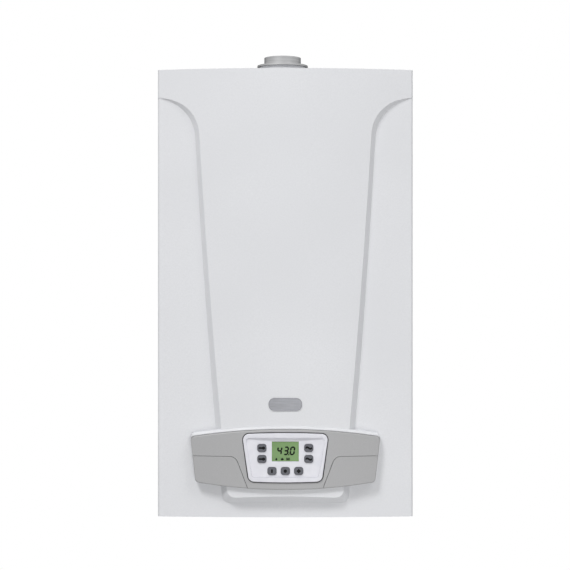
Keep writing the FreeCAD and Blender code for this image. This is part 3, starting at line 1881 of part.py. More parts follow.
rotor_blades = [
    box(f"{pump_x} - rotor_radius", f"-{rotor_front}", "pump_z - rotor_blade / 2", "2 * rotor_radius",
        "rotor_width", "rotor_blade"),
    box(f"{pump_x} - rotor_blade / 2", f"-{rotor_front}", "pump_z - rotor_radius", "rotor_blade",
        "rotor_width", "2 * rotor_radius"),
]
node(
    "pump_impeller",
    join(
        rod(pump_x, f"rotor_plate - {rotor_front}", "pump_z", "rotor_radius", "rotor_plate", "-Y"),
        rod(pump_x, f"rotor_width - {rotor_front}", "pump_z", "pump_shaft",
            f"rotor_width + volute_front - {rotor_front} + pump_shaft_reach", "-Y"),
        *[
            common(
                b, rod(pump_x, "0", "pump_z", "rotor_radius", "block_front", "-Y"),
            ) for b in rotor_blades
        ],
    ),
)

# Gas valve with two coils in front and an adjusting screw cap on top.
valve_points = [
    ("valve_half", "-valve_back"), ("-valve_half", "-valve_back"),
    ("-valve_half", "-valve_front"), ("valve_half", "-valve_front"),
]
coils = [
    rod(
        f"{side} * coil_offset", "overrun - valve_front", "coil_height", "coil_radius",
        "coil_length + overrun", "-Y",
    )
    for side in (-1, 1)
]
node(
    "gas_valve",
    join(
        prism(
            "XY_Plane", valve_points, "valve_low", "valve_high - valve_low",
            [([0, 1, 2, 3], "valve_round")],
        ),
        *coils,
        rod(
            "0", "coil_offset - valve_front", "valve_high - overrun", "valve_screw",
            "valve_screw_height + overrun",
        ),
    ),
)


# Pipes: straight runs joined square at the turns.
def bent_pipe(x, radius, first_depth, low, turn, last_depth, high):
    return join(
        rod(x, f"-({first_depth})", low, radius, f"{turn} + {radius} - ({low})"),
        rod(
            x, f"{radius} - ({first_depth})", turn, radius,
            f"{last_depth} - ({first_depth}) + 2 * {radius}", "-Y",
        ),
        rod(x, f"-({last_depth})", f"{turn} - {radius}", radius, f"{high} - {turn} + {radius}"),
    )


node(
    "gas_pipes",
    group(
        rod("0", "-union_depth", block_low, "gas_pipe_radius", f"valve_low - {block_low}"),
        bent_pipe(
            "0", "gas_pipe_radius", "union_depth", "valve_high", "gas_turn", "gas_rise_depth",
            "injector_low",
        ),
    ),
)
header_low = "tube_height - header_half_height"
vessel_mid_depth = f"vessel_back + {vessel_mid}"
vessel_run = join(
    rod("vessel_port_x", f"-({vessel_mid_depth})", "vessel_turn - vessel_pipe", "vessel_pipe",
        "vessel_port_low - vessel_turn + vessel_pipe"),
    rod("vessel_port_x", f"vessel_pipe - ({vessel_mid_depth})", "vessel_turn", "vessel_pipe",
        f"union_depth - ({vessel_mid_depth}) + 2 * vessel_pipe", "-Y"),
    rod(
        "vessel_port_x", "-union_depth", "block_high", "vessel_pipe",
        "vessel_turn + vessel_pipe - block_high",
    ),
)
node(
    "water_pipes",
    group(
        rod("-union_outer", "-flow_depth", "block_high", "water_pipe", f"{header_low} - block_high"),
        bent_pipe(
            pump_x, "water_pipe", pump_neck_depth, "pump_top", "return_turn", "return_depth", header_low,
        ),
        vessel_run,
    ),
)


# Every object is checked before a file is written.
doc.recompute()
failed = [o.Label for o in doc.Objects if {"Invalid", "Error"} & set(o.State)]
failed += [n.Label for n in NODES if n.Shape.isNull() or not n.Shape.isValid() or not n.Shape.Solids]
if failed:
    raise SystemExit(f"these failed: {failed}")
os.makedirs("parts", exist_ok=True)
for made in NODES:
    made.Shape.exportStep(f"parts/{made.Label}.step")
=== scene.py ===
import json
import math

import bmesh
import bpy
from mathutils import Matrix, Vector

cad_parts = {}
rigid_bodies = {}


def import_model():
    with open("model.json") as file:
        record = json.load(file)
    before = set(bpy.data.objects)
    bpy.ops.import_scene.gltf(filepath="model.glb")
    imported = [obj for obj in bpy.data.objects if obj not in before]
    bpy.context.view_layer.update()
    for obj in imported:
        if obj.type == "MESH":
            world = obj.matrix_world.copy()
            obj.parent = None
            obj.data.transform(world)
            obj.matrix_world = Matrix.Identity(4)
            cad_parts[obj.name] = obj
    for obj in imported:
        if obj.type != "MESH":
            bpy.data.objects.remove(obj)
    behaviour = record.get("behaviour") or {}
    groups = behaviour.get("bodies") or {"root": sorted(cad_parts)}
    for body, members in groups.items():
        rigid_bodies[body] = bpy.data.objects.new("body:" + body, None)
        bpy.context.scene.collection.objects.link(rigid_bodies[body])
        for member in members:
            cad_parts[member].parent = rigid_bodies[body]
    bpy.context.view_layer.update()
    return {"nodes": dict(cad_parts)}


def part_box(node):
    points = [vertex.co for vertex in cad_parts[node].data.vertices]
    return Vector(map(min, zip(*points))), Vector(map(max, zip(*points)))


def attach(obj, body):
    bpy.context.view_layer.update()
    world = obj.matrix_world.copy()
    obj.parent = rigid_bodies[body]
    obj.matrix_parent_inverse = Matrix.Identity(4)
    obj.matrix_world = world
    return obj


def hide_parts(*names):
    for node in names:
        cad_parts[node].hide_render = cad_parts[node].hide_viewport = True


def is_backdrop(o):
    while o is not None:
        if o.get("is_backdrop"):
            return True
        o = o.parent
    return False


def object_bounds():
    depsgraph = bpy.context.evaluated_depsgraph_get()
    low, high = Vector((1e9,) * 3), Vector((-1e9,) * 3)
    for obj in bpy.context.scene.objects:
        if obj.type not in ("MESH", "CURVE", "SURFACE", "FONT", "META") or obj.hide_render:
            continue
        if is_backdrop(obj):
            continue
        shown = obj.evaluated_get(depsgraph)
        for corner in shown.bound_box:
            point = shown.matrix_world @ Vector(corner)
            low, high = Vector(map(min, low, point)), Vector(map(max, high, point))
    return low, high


for leftover in list(bpy.data.objects):
    bpy.data.objects.remove(leftover)

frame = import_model()

# Rear frame, pipe rail and lower crossbar: folded sheet steel, hot-dip galvanised.
# They hang on the wall first and carry everything else. The zinc freezes in flat crystals,
# so the eye gets a patchwork of pale greys, each patch a little duller or brighter than the next.
MM = 0.001
crystal_size = 6 * MM


def linear(colour):
    """An sRGB hex colour as linear RGBA."""
    shares = [int(colour[i : i + 2], 16) / 255 for i in (1, 3, 5)]
    return [s / 12.92 if s <= 0.04045 else ((s + 0.055) / 1.055) ** 2.4 for s in shares] + [1.0]


def add_node(tree, kind, inputs=None, stops=None, feeds=None, **settings):
    """A node: an input takes a number or another node's output, stops are a ramp's hex colours
    by position, and feeds is the socket that its first output goes to."""
    made = tree.nodes.new(kind)
    for name, setting in settings.items():
        setattr(made, name, setting)
    for name, source in (inputs or {}).items():
        if isinstance(source, bpy.types.Node):
            tree.links.new(source.outputs[0], made.inputs[name])
        elif isinstance(source, bpy.types.NodeSocket):
            tree.links.new(source, made.inputs[name])
        else:
            made.inputs[name].default_value = source
    for element, (position, colour) in enumerate((stops or {}).items()):
        made.color_ramp.elements[element].position = position
        made.color_ramp.elements[element].color = linear(colour)
    if feeds:
        tree.links.new(made.outputs[0], feeds)
    return made


def new_material(name, **shader_inputs):
    """A material with one surface shader, its node tree and the shader's sockets."""
    material = bpy.data.materials.new(name)
    material.use_nodes = True
    tree = material.node_tree
    sockets = tree.nodes["Principled BSDF"].inputs
    for socket, setting in shader_inputs.items():
        sockets[socket.replace("_", " ")].default_value = setting
    return material, tree, sockets


def coat_nodes(material, *names):
    """Gives carried-over pieces one finish."""
    for name in names:
        frame["nodes"][name].data.materials.clear()
        frame["nodes"][name].data.materials.append(material)


galvanised, tree, sockets = new_material("galvanised_steel", Metallic=1.0)
place = add_node(tree, "ShaderNodeTexCoord").outputs["Object"]
crystals = add_node(tree, "ShaderNodeTexVoronoi", {"Vector": place, "Scale": 1 / crystal_size})
crystal_tone = add_node(tree, "ShaderNodeSeparateColor", {"Color": crystals.outputs["Color"]})
add_node(
    tree,
    "ShaderNodeValToRGB",
    {"Fac": crystal_tone.outputs["Red"]},
    stops={0.0: "#A3A6AA", 1.0: "#B5B8BC"},
    feeds=sockets["Base Color"],
)
add_node(
    tree,
    "ShaderNodeMapRange",
    {"Value": crystal_tone.outputs["Green"], "To Min": 0.34, "To Max": 0.52},
    feeds=sockets["Roughness"],
)
coat_nodes(galvanised, "rear_frame", "pipe_rail", "lower_crossbar")

# Combustion chamber, its cover, the flue hood, the fan scroll and the air plug: aluminised sheet,
# folded and spot-welded, hung inside the rear frame. Rolling leaves a fine upright grain,
# duller in its dark streaks.
rolling_stretch = 25
streak_span = (0.25, 0.75)
cloud_span = (0.3, 0.7)


def grained(
    name,
    nodes=(),
    *,
    grain,
    tones,
    gloss,
    stretch=None,
    span=cloud_span,
    detail=3.0,
    relief=0.0,
    **shader_inputs,
):
    """A finish whose tone and roughness follow one grain of a real size. The tone turns over a span
    of the grain's noise, stretch scales the grain along each axis, and relief is its height."""
    material, tree, sockets = new_material(name, **shader_inputs)
    place = add_node(tree, "ShaderNodeTexCoord").outputs["Object"]
    if stretch:
        place = add_node(tree, "ShaderNodeMapping", {"Vector": place, "Scale": stretch})
    skin = add_node(
        tree, "ShaderNodeTexNoise", {"Vector": place, "Scale": 1 / grain, "Detail": detail}
    )
    add_node(
        tree,
        "ShaderNodeValToRGB",
        {"Fac": skin},
        stops=dict(zip(span, tones)),
        feeds=sockets["Base Color"],
    )
    add_node(
        tree,
        "ShaderNodeMapRange",
        {"Value": skin, "To Min": gloss[0], "To Max": gloss[1]},
        feeds=sockets["Roughness"],
    )
    if relief:
        add_node(
            tree,
            "ShaderNodeBump",
            {"Height": skin, "Distance": relief, "Strength": 0.5},
            feeds=sockets["Normal"],
        )
    coat_nodes(material, *nodes)
    return material


grained(
    "aluminised_sheet",
    ("chamber_shell", "chamber_cover", "flue_hood", "fan_scroll", "air_inlet_cover"),
    grain=1.2 * MM,
    tones=("#A9ABAC", "#C6C7C6"),
    gloss=(0.46, 0.32),
    stretch=(1.0, 1.0, 1 / rolling_stretch),
    span=streak_span,
    Metallic=1.0,
)

# Combustion box, burner ramps, plate exchanger and fan impeller: bright-rolled stainless sheet.
# The ramps are pressed and brazed, the plates stacked and brazed.
# Flame stains the metal straw in clouds of a few centimetres, and dulls it there.
grained(
    "stainless_sheet",
    ("combustion_box", "burner_ramps", "plate_exchanger", "fan_impeller"),
    grain=35 * MM,
    tones=("#C2C2C0", "#B9AE98"),
    gloss=(0.2, 0.36),
    Metallic=1.0,
)

# Lining of the combustion box: boards of pressed ceramic fibre, slid in between box and flame.
# They are chalky, cream and slightly woolly, in tufts of two or three millimetres.
grained(
    "ceramic_fibre_board",
    ("ceramic_lining",),
    grain=2.5 * MM,
    tones=("#D8CFBC", "#EFE9DC"),
    gloss=(0.95, 0.9),
    detail=6.0,
    relief=0.6 * MM,
)

# Electrodes: steel rods in glazed ceramic sleeves, screwed to the front of the combustion box.
# The glaze is smooth and off-white, with a faint iron speckle.
grained(
    "glazed_ceramic",
    ("electrodes",),
    grain=1.5 * MM,
    tones=("#D5D0C6", "#F0EDE6"),
    gloss=(0.24, 0.2),
    IOR=1.5,
)

# Primary exchanger and pipes: drawn copper, bent and flame-brazed.
# It darkens in brown clouds of a couple of centimetres, and what is bright is also smoother.
grained(
    "drawn_copper",
    ("exchanger_fins", "exchanger_tubes", "gas_pipes", "water_pipes"),
    grain=24 * MM,
    tones=("#8F5A41", "#CB8A66"),
    gloss=(0.42, 0.24),
    detail=5.0,
    Metallic=1.0,
)

# Fan motor and pump motor: drawn steel cans, dipped in dark satin lacquer.
# The lacquer flows out almost level, so only its gloss wavers.
grained(
    "motor_lacquer",
    ("pump_motor", "fan_motor"),
    grain=2.2 * MM,
    tones=("#22262B", "#2D3238"),
    gloss=(0.34, 0.44),
    IOR=1.5,
)

# Pressure switch, diverter motor and pump impeller: moulded nylon, clipped or pressed in place.
# Spark erosion of the mould leaves an even, fine matt grain on the off-white plastic.
grained(
    "moulded_nylon",
    ("pressure_switch", "diverter_motor", "pump_impeller"),
    grain=0.8 * MM,
    tones=("#DADAD6", "#E8E8E4"),
    gloss=(0.38, 0.5),
    relief=0.03 * MM,
    IOR=1.53,
)

# Hose of the pressure switch and seal round the fascia: extruded black rubber.
# It is dull, with a dusty bloom in patches of several millimetres.
grained(
    "black_rubber",
    ("pressure_hose", "fascia_seal"),
    grain=7 * MM,
    tones=("#17171A", "#2A2A2D"),
    gloss=(0.6, 0.8),
    IOR=1.52,
)

# Sight glass: a pressed disc of heat-proof glass in the chamber cover, to watch the flame.
# It is faintly green, with slow draw marks.
grained(
    "pressed_glass",
    ("sight_glass",),
    grain=6 * MM,
    tones=("#CFE0D8", "#E3EEE9"),
    gloss=(0.03, 0.08),
    IOR=1.47,
    Transmission_Weight=0.9,
)

# Screws of the chamber cover and of the casing: cold-headed steel with a cross recess, zinc-plated.
# They clamp the cover to the chamber's flange, and the casing to the lower crossbar.
# The plating is bright and finely grained.
zinc_plate = grained(
    "zinc_plate", grain=0.5 * MM, tones=("#ACAEB1", "#BDBFC2"), gloss=(0.26, 0.34), Metallic=1.0
)
speck = 0.001 * MM
# Shares of the head's height, then of its radius, then of the recess's mouth.
edge_round_share = 0.4
recess_depth_share = 0.55
recess_arm_share = 0.62
recess_half_width_share = 0.14
recess_floor_share = 0.6


def draw_out(mesh, faces, way):
    """Extrudes a patch of faces along a vector, and gives the vertices that moved."""
    edges = dict.fromkeys(edge for face in faces for edge in face.edges)
    grown = bmesh.ops.extrude_face_region(mesh, geom=faces + list(edges))["geom"]
    moved = [part for part in grown if isinstance(part, bmesh.types.BMVert)]
    bmesh.ops.translate(mesh, verts=moved, vec=way)
    return moved


def faces_below(mesh, level):
    """The faces that lie wholly below a level."""
    return [face for face in mesh.faces if all(vert.co.z < level for vert in face.verts)]


def crossed_screw(head_radius, head_height, shank_radius, shank_length):
    """A screw that points up: its head hangs below the origin, with a cross recess in its face."""
    screw = bmesh.new()
    bmesh.ops.create_cone(
        screw,
        cap_ends=True,
        segments=32,
        radius1=head_radius,
        radius2=head_radius,
        depth=head_height,
        matrix=Matrix.Translation((0, 0, -head_height / 2)),
    )
    top = max(screw.faces, key=lambda face: face.calc_center_median().z)
    bmesh.ops.inset_individual(screw, faces=[top], thickness=head_radius - shank_radius)
    draw_out(screw, [top], (0, 0, shank_length))
    rim = [edge for edge in screw.edges if all(vert.co.z < -head_height / 2 for vert in edge.verts)]
    bmesh.ops.bevel(
        screw,
        geom=rim,
        offset=head_height * edge_round_share,
        affect="EDGES",
        segments=4,
        profile=0.5,
        material=-1,
    )
    arm = head_radius * recess_arm_share
    half_width = head_radius * recess_half_width_share
    face_level = speck - head_height
    for axis in (Vector((1, 0, 0)), Vector((0, 1, 0))):
        for offset in (-arm, -half_width, half_width, arm):
            face_parts = faces_below(screw, face_level)
            edges = dict.fromkeys(edge for face in face_parts for edge in face.edges)
            verts = dict.fromkeys(vert for face in face_parts for vert in face.verts)
            bmesh.ops.bisect_plane(
                screw,
                geom=list(verts) + list(edges) + face_parts,
                plane_co=axis * offset,
                plane_no=axis,
            )
    cross = []
    for face in faces_below(screw, face_level):
        middle = face.calc_center_median()
        beside, along = sorted((abs(middle.x), abs(middle.y)))
        if along < arm and beside < half_width:
            cross.append(face)
    recess_floor = draw_out(screw, cross, (0, 0, head_height * recess_depth_share))
    bmesh.ops.scale(screw, verts=recess_floor, vec=(recess_floor_share, recess_floor_share, 1))
    return screw


def new_piece(name, mesh, material, body):
    """A finished piece from a bmesh: it takes a material and rides on a body."""
    bmesh.ops.remove_doubles(mesh, verts=mesh.verts, dist=speck)
    bmesh.ops.recalc_face_normals(mesh, faces=mesh.faces)
    piece = bpy.data.objects.new(name, bpy.data.meshes.new(name))
    mesh.to_mesh(piece.data)
    mesh.free()
    piece.data.materials.append(material)
    bpy.context.scene.collection.objects.link(piece)
    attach(piece, body)
    return piece


for group, body, head_radius, head_height, shank_radius, rows, lean in (
    ("casing", "casing", 4.2 * MM, 2.6 * MM, 2 * MM, 1, 0),
    ("cover", "boiler", 4 * MM, 2.4 * MM, 1.8 * MM, 4, -90),
):
    screws_low, screws_high = (Vector(corner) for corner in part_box(f"{group}_screws"))
    turn = Matrix.Rotation(math.radians(lean), 4, "X")
    screw_axis = turn.to_3x3() @ Vector((0, 0, 1))
    length = abs(screw_axis.dot(screws_high - screws_low))
    screws = crossed_screw(head_radius, head_height, shank_radius, length - head_height)
    pattern = screws.verts[:] + screws.edges[:] + screws.faces[:]
    inset = Vector((head_radius, head_radius, head_radius))
    first, last = screws_low + inset, screws_high - inset
    for row in range(rows):
        for x in (first.x, last.x):
            if lean:
                z = first.z + (last.z - first.z) * row / (rows - 1)
                spot = (x, screws_low.y + head_height, z)
            else:
                spot = (x, first.y, screws_low.z + head_height)
            copied = bmesh.ops.duplicate(screws, geom=pattern)["geom"]
            bmesh.ops.transform(
                screws,
                verts=[part for part in copied if isinstance(part, bmesh.types.BMVert)],
                matrix=Matrix.Translation(spot) @ turn,
            )
    pattern_verts = [part for part in pattern if isinstance(part, bmesh.types.BMVert)]
    bmesh.ops.delete(screws, geom=pattern_verts, context="VERTS")
    fixings = new_piece(f"{group}_fixings", screws, zinc_plate, body)
    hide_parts(f"{group}_screws")

# Expansion vessel: two pressed steel shells, seamed and powder-coated red.
# The coat has a fine orange peel.
grained(
    "red_powder_coat",
    ("expansion_vessel",),
    grain=1.6 * MM,
    tones=("#A2231E", "#B32B24"),
    gloss=(0.36, 0.46),
    relief=0.05 * MM,
    IOR=1.5,
)

# Flow and return blocks, unions and injector bar: hot-stamped brass, tumbled and then drilled.
# The skin is finely pitted, with a soft sheen.
grained(
    "stamped_brass",
    ("flow_block", "return_block", "pipe_unions", "injector_manifold"),
    grain=1.4 * MM,
    tones=("#A98747", "#C9A863"),
    gloss=(0.42, 0.3),
    relief=0.12 * MM,
    Metallic=1.0,
)

# Pump volute: grey iron, sand-cast and dipped in black paint.
# The sand's grain shows through the paint.
grained(
    "painted_cast_iron",
    ("pump_volute",),
    grain=1.8 * MM,
    tones=("#26282B", "#3A3D41"),
    gloss=(0.62, 0.46),
    detail=4.0,
    relief=0.3 * MM,
    IOR=1.5,
)

# Gas valve: a body of die-cast aluminium, screwed between the gas pipes.
# It is shot-blasted, which leaves an even, sparkling grey.
grained(
    "diecast_aluminium",
    ("gas_valve",),
    grain=0.9 * MM,
    tones=("#9FA2A6", "#B9BBBE"),
    gloss=(0.5, 0.38),
    relief=0.08 * MM,
    Metallic=1.0,
)

# Safety knob, gauge needle and filling tap: coloured acetal, moulded glossy and pressed on.
# The colour swirls faintly where the melt flowed in.
for colour_name, tones, nodes in (
    ("red", ("#A81F1B", "#BC2A24"), ("safety_knob", "gauge_needle")),
    ("blue", ("#204C95", "#2A5AA8"), ("filling_tap",)),
):
    grained(
        f"{colour_name}_acetal", nodes, grain=4 * MM, tones=tones, gloss=(0.25, 0.34), IOR=1.48
    )

# Control box with its rear cover, and the gauge's case: black flame-proof plastic, moulded.
# The mould's eroded grain keeps it dull.
grained(
    "black_plastic",
    ("control_box", "control_box_cover", "pressure_gauge"),
    grain=0.7 * MM,
    tones=("#202123", "#2C2D30"),
    gloss=(0.5, 0.62),
    relief=0.05 * MM,
    IOR=1.5,
)

# Dial of the pressure gauge: a thin aluminium disc, enamelled white, with ticks and numbers printed
# in black. It drops into the gauge's case behind the needle, and is read from below.
dial_gauge = 0.2 * MM
print_gauge = 0.1 * MM
dial_margin = 2.3 * MM
case_recess = 4 * MM
scale_sweep = math.radians(250)
tick_count = 9
tick_size = Vector((0.9, 3.2)) * MM
tick_margin = dial_margin / 2
highest_number = 4
number_height = 4.6 * MM
number_inset = 2.76 * MM
gauge_low, gauge_high = (Vector(corner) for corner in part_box("pressure_gauge"))
dial_centre = (gauge_low + gauge_high) / 2
dial_radius = (gauge_high.x - gauge_low.x) / 2 - dial_margin
dial_top = gauge_low.z + case_recess
print_z = dial_top - dial_gauge - print_gauge / 2
number_radius = dial_radius - tick_margin - tick_size.y - number_inset
dial_enamel = grained(
    "dial_enamel", grain=3 * MM, tones=("#ECECE8", "#F4F4F1"), gloss=(0.3, 0.38), IOR=1.5
)
black_print = grained(
    "black_print",
    grain=1.5 * MM,
    tones=("#0B0B0D", "#121215"),
    gloss=(0.5, 0.6),
    IOR=1.5,
    Specular_IOR_Level=0.15,
)
dial = bmesh.new()
bmesh.ops.create_cone(
    dial,
    cap_ends=True,
    segments=64,
    radius1=dial_radius,
    radius2=dial_radius,
    depth=dial_gauge,
    matrix=Matrix.Translation((dial_centre.x, dial_centre.y, dial_top - dial_gauge / 2)),
)
new_piece("gauge_dial", dial, dial_enamel, "boiler")
ticks = bmesh.new()
for tick in range(tick_count):
    bmesh.ops.create_cube(
        ticks,
        size=1.0,
        matrix=Matrix.Translation((dial_centre.x, dial_centre.y, print_z))
        @ Matrix.Rotation((tick / (tick_count - 1) - 0.5) * scale_sweep, 4, "Z")
        @ Matrix.Translation((0, tick_size.y / 2 + tick_margin - dial_radius, 0))
        @ Matrix.Diagonal((*tick_size, print_gauge, 1)),
    )
new_piece("gauge_ticks", ticks, black_print, "boiler")
numbers = bmesh.new()
for number in range(highest_number + 1):
    lettering = bpy.data.curves.new("number", "FONT")
    lettering.body = str(number)
    lettering.size = number_height
    lettering.align_x = "CENTER"
    lettering.align_y = "CENTER"
    lettering.resolution_u = 3
    lettering.extrude = print_gauge / 2
    drawn = bpy.data.objects.new("number", lettering)
    printed = bpy.data.meshes.new_from_object(drawn)
    bpy.data.objects.remove(drawn)
    angle = (number / highest_number - 0.5) * scale_sweep
    number_x = dial_centre.x + number_radius * math.sin(angle)
    number_y = dial_centre.y - number_radius * math.cos(angle)
    printed.transform(
        Matrix.Translation((number_x, number_y, print_z))
        @ Matrix.Rotation(math.radians(180), 4, "X")
    )
    numbers.from_mesh(printed)
    bpy.data.meshes.remove(printed)
new_piece("gauge_numbers", numbers, black_print, "boiler")

# Main board and display board: glass-fibre laminate under green lacquer, screwed to the control box.
# The copper tracks under the lacquer show as a paler ladder.
track_pitch = 5 * MM
laminate, tree, sockets = new_material("circuit_laminate", IOR=1.55)
place = add_node(tree, "ShaderNodeTexCoord").outputs["Object"]
tracks = add_node(
    tree, "ShaderNodeTexBrick", {"Vector": place, "Scale": 1 / track_pitch, "Mortar Size": 0.06}
)
add_node(
    tree,
    "ShaderNodeValToRGB",
    {"Fac": tracks.outputs["Fac"]},
    stops={0.2: "#1D5A33", 0.8: "#2C7A48"},
    feeds=sockets["Base Color"],
)
add_node(
    tree,
    "ShaderNodeMapRange",
    {"Value": tracks.outputs["Fac"], "To Min": 0.3, "To Max": 0.42},
    feeds=sockets["Roughness"],
)
coat_nodes(laminate, "main_board", "display_board")

# Flue spigot: an aluminium tube spun with its flange, left bare and set in the top panel.
# The roller leaves fine rings round the metal, and its oxide dulls it. The dark specular tint is
# painted shade:
# it darkens the metal where it is seen at a slant, standing in for dark surroundings reflected
# there, so the tube falls off towards both edges.
ring_stretch = 25
grained(
    "spun_aluminium",
    ("flue_spigot",),
    grain=1.6 * MM,
    tones=("#A0A1A2", "#BABABB"),
    gloss=(0.52, 0.4),
    stretch=(1 / ring_stretch, 1 / ring_stretch, 1.0),
    span=streak_span,
    Metallic=1.0,
    # painted shade: a dark edge tint in place of reflected dark surroundings
    Specular_Tint=linear("#141416"),
)

# Side panels, top panel and front casing: sheet steel, pressed or folded and powder-coated white.
# The casing hooks over the rear frame and two screws hold it below. The coat melts in the oven
# to a fine orange peel, drawn here about twice as coarse as it is, and its shade drifts slightly.
peel_size = 2.4 * MM
peel_relief = 0.03 * MM
drift_size = 160 * MM
white_coat, tree, sockets = new_material("white_powder_coat", IOR=1.5)
place = add_node(tree, "ShaderNodeTexCoord").outputs["Object"]
peel = add_node(
    tree, "ShaderNodeTexNoise", {"Vector": place, "Scale": 1 / peel_size, "Detail": 2.0}
)
drift = add_node(
    tree, "ShaderNodeTexNoise", {"Vector": place, "Scale": 1 / drift_size, "Detail": 1.0}
)
shade = add_node(
    tree, "ShaderNodeMath", {0: peel, 1: drift}, operation="MULTIPLY", use_clamp=True
)
add_node(
    tree,
    "ShaderNodeValToRGB",
    {"Fac": shade},
    stops={0.1: "#DDDEE1", 0.45: "#E3E4E7"},
    feeds=sockets["Base Color"],
)
add_node(
    tree,
    "ShaderNodeMapRange",
    {"Value": peel, "To Min": 0.42, "To Max": 0.52},
    feeds=sockets["Roughness"],
)
add_node(
    tree,
    "ShaderNodeBump",
    {"Height": peel, "Distance": peel_relief, "Strength": 0.3},
    feeds=sockets["Normal"],
)
coat_nodes(white_coat, "left_side_panel", "right_side_panel", "top_panel", "front_casing")

# Control bezel and its two lower covers: grey plastic, moulded in tools with an eroded grain.
# The covers clip into the bezel's ends. The eye gets a flat, even grey with a fine tooth.
grained(
    "grey_satin_plastic",
    ("control_bezel", "left_lower_cover", "right_lower_cover"),
    grain=0.9 * MM,
    tones=("#A7A7A8", "#AFAFB0"),
    gloss=(0.42, 0.54),
    relief=0.04 * MM,
    IOR=1.5,
)

# Fascia: a dished plate of white plastic, moulded glossy and clipped into the bezel.
# It is smooth, with faint flow marks a centimetre across.
grained(
    "white_gloss_plastic",
    ("display_fascia",),
    grain=12 * MM,
    tones=("#DDDDE4", "#E4E4EA"),
    gloss=(0.2, 0.28),
    IOR=1.5,
)

# Display: a liquid-crystal cell soldered to the display board, behind the fascia's window.
# Its backlight makes it green, a little unevenly, and what it shows stands out black.
grained(
    "lcd_cell",
    ("lcd_module",),
    grain=30 * MM,
    tones=("#6A8D53", "#76995F"),
    gloss=(0.2, 0.24),
    IOR=1.5,
)
lcd_black = grained(
    "lcd_segment",
    grain=2 * MM,
    tones=("#0C100A", "#151A12"),
    gloss=(0.4, 0.5),
    IOR=1.5,
    Specular_IOR_Level=0.1,
)
ink_gauge = 0.12 * MM
window_z = 105.15 * MM
digit_rise = 0.9 * MM
digit_z = window_z + digit_rise
digit_width = 5.6 * MM
digit_height = 11.2 * MM
digit_places = {"4": -8.9 * MM, "3": 1.3 * MM, "0": 11.0 * MM}
digit_slant = math.tan(math.radians(8))
stroke = 2.5 * MM
stroke_gap = 0.2 * MM
stroke_chamfer = 0.45 * stroke
point_size = 1.8 * MM
point_place = Vector((6.2, -6.0)) * MM
# Each segment's place in half widths and half heights of a digit, and whether it lies level.
segment_places = {
    "top": (0, 1, True),
    "middle": (0, 0, True),
    "bottom": (0, -1, True),
    "upper_left": (-1, 0.5, False),
    "upper_right": (1, 0.5, False),
    "lower_left": (-1, -0.5, False),
    "lower_right": (1, -0.5, False),
}
dark_segments = {
    "4": ("upper_left", "middle", "upper_right", "lower_right"),
    "3": ("top", "middle", "bottom", "upper_right", "lower_right"),
    "0": ("top", "bottom", "upper_left", "upper_right", "lower_left", "lower_right"),
}
lcd_front = Vector(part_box("lcd_module")[0]).y


def add_bar(mesh, x, z, width, height, front, chamfer=0.0):
    """A thin printed bar on a front, its middle at x and z, its corners cut off by a chamfer."""
    verts = bmesh.ops.create_cube(
        mesh,
        size=1.0,
        matrix=Matrix.Translation((x, front - ink_gauge / 2, z))
        @ Matrix.Diagonal((width, ink_gauge, height, 1)),
    )["verts"]
    if chamfer:
        edges = dict.fromkeys(edge for vert in verts for edge in vert.link_edges)
        bmesh.ops.bevel(
            mesh,
            geom=[e for e in edges if abs(e.verts[0].co.y - e.verts[1].co.y) > ink_gauge / 2],
            offset=chamfer,
            affect="EDGES",
            segments=1,
            profile=0.5,
            material=-1,
        )


readout = bmesh.new()
for digit, x in digit_places.items():
    for segment in dark_segments[digit]:
        across, up, level = segment_places[segment]
        length = (digit_width if level else digit_height / 2) - stroke_gap
        add_bar(
            readout,
            x + across * digit_width / 2,
            digit_z + up * digit_height / 2,
            length if level else stroke,
            stroke if level else length,
            lcd_front,
            stroke_chamfer,
        )
add_bar(readout, point_place.x, digit_z + point_place.y, point_size, point_size, lcd_front)
bmesh.ops.transform(
    readout,
    verts=readout.verts,
    space=Matrix.Translation((0, 0, -digit_z)),
    matrix=Matrix.Shear("XY", 4, (digit_slant, 0)),
)
new_piece("lcd_digits", readout, lcd_black, "boiler")

# Signs in the display's lower row: two drops and a radiator, shown by shaped segments.
# They are part of the same cell, and as black as the digits.
sign_drop = 11.8 * MM
sign_z = window_z - sign_drop
sign_height = 4.2 * MM
drop_widths = {-14 * MM: 3.4 * MM, -4.8 * MM: 4.8 * MM}
drop_sides = 24
radiator_x = 4.25 * MM
radiator_width = 5.5 * MM
radiator_bar = 0.8 * MM
fin_count = 4
fin_pitch = 1.5 * MM
fin_width = 1 * MM


def add_disc(mesh, sides, x, z, width, height, front):
    """A thin printed disc, or a figure of few sides with a point on top, its middle at x and z."""
    return bmesh.ops.create_cone(
        mesh,
        cap_ends=True,
        segments=sides,
        radius1=0.5,
        radius2=0.5,
        depth=1.0,
        matrix=Matrix.Translation((x, front - ink_gauge / 2, z))
        @ Matrix.Diagonal((width, ink_gauge, height, 1))
        @ Matrix.Rotation(math.radians(90), 4, "X"),
    )["verts"]


signs = bmesh.new()
for x, width in drop_widths.items():
    for vert in add_disc(signs, drop_sides, x, sign_z, width, sign_height, lcd_front):
        rise = max(0.0, (vert.co.z - sign_z) / (sign_height / 2))
        vert.co.x = x + (vert.co.x - x) * (1 - rise)
for fin in range(fin_count):
    x = radiator_x + (fin - (fin_count - 1) / 2) * fin_pitch
    add_bar(signs, x, sign_z, fin_width, sign_height, lcd_front)
add_bar(signs, radiator_x, sign_z, radiator_width, radiator_bar, lcd_front)
new_piece("lcd_signs", signs, lcd_black, "boiler")

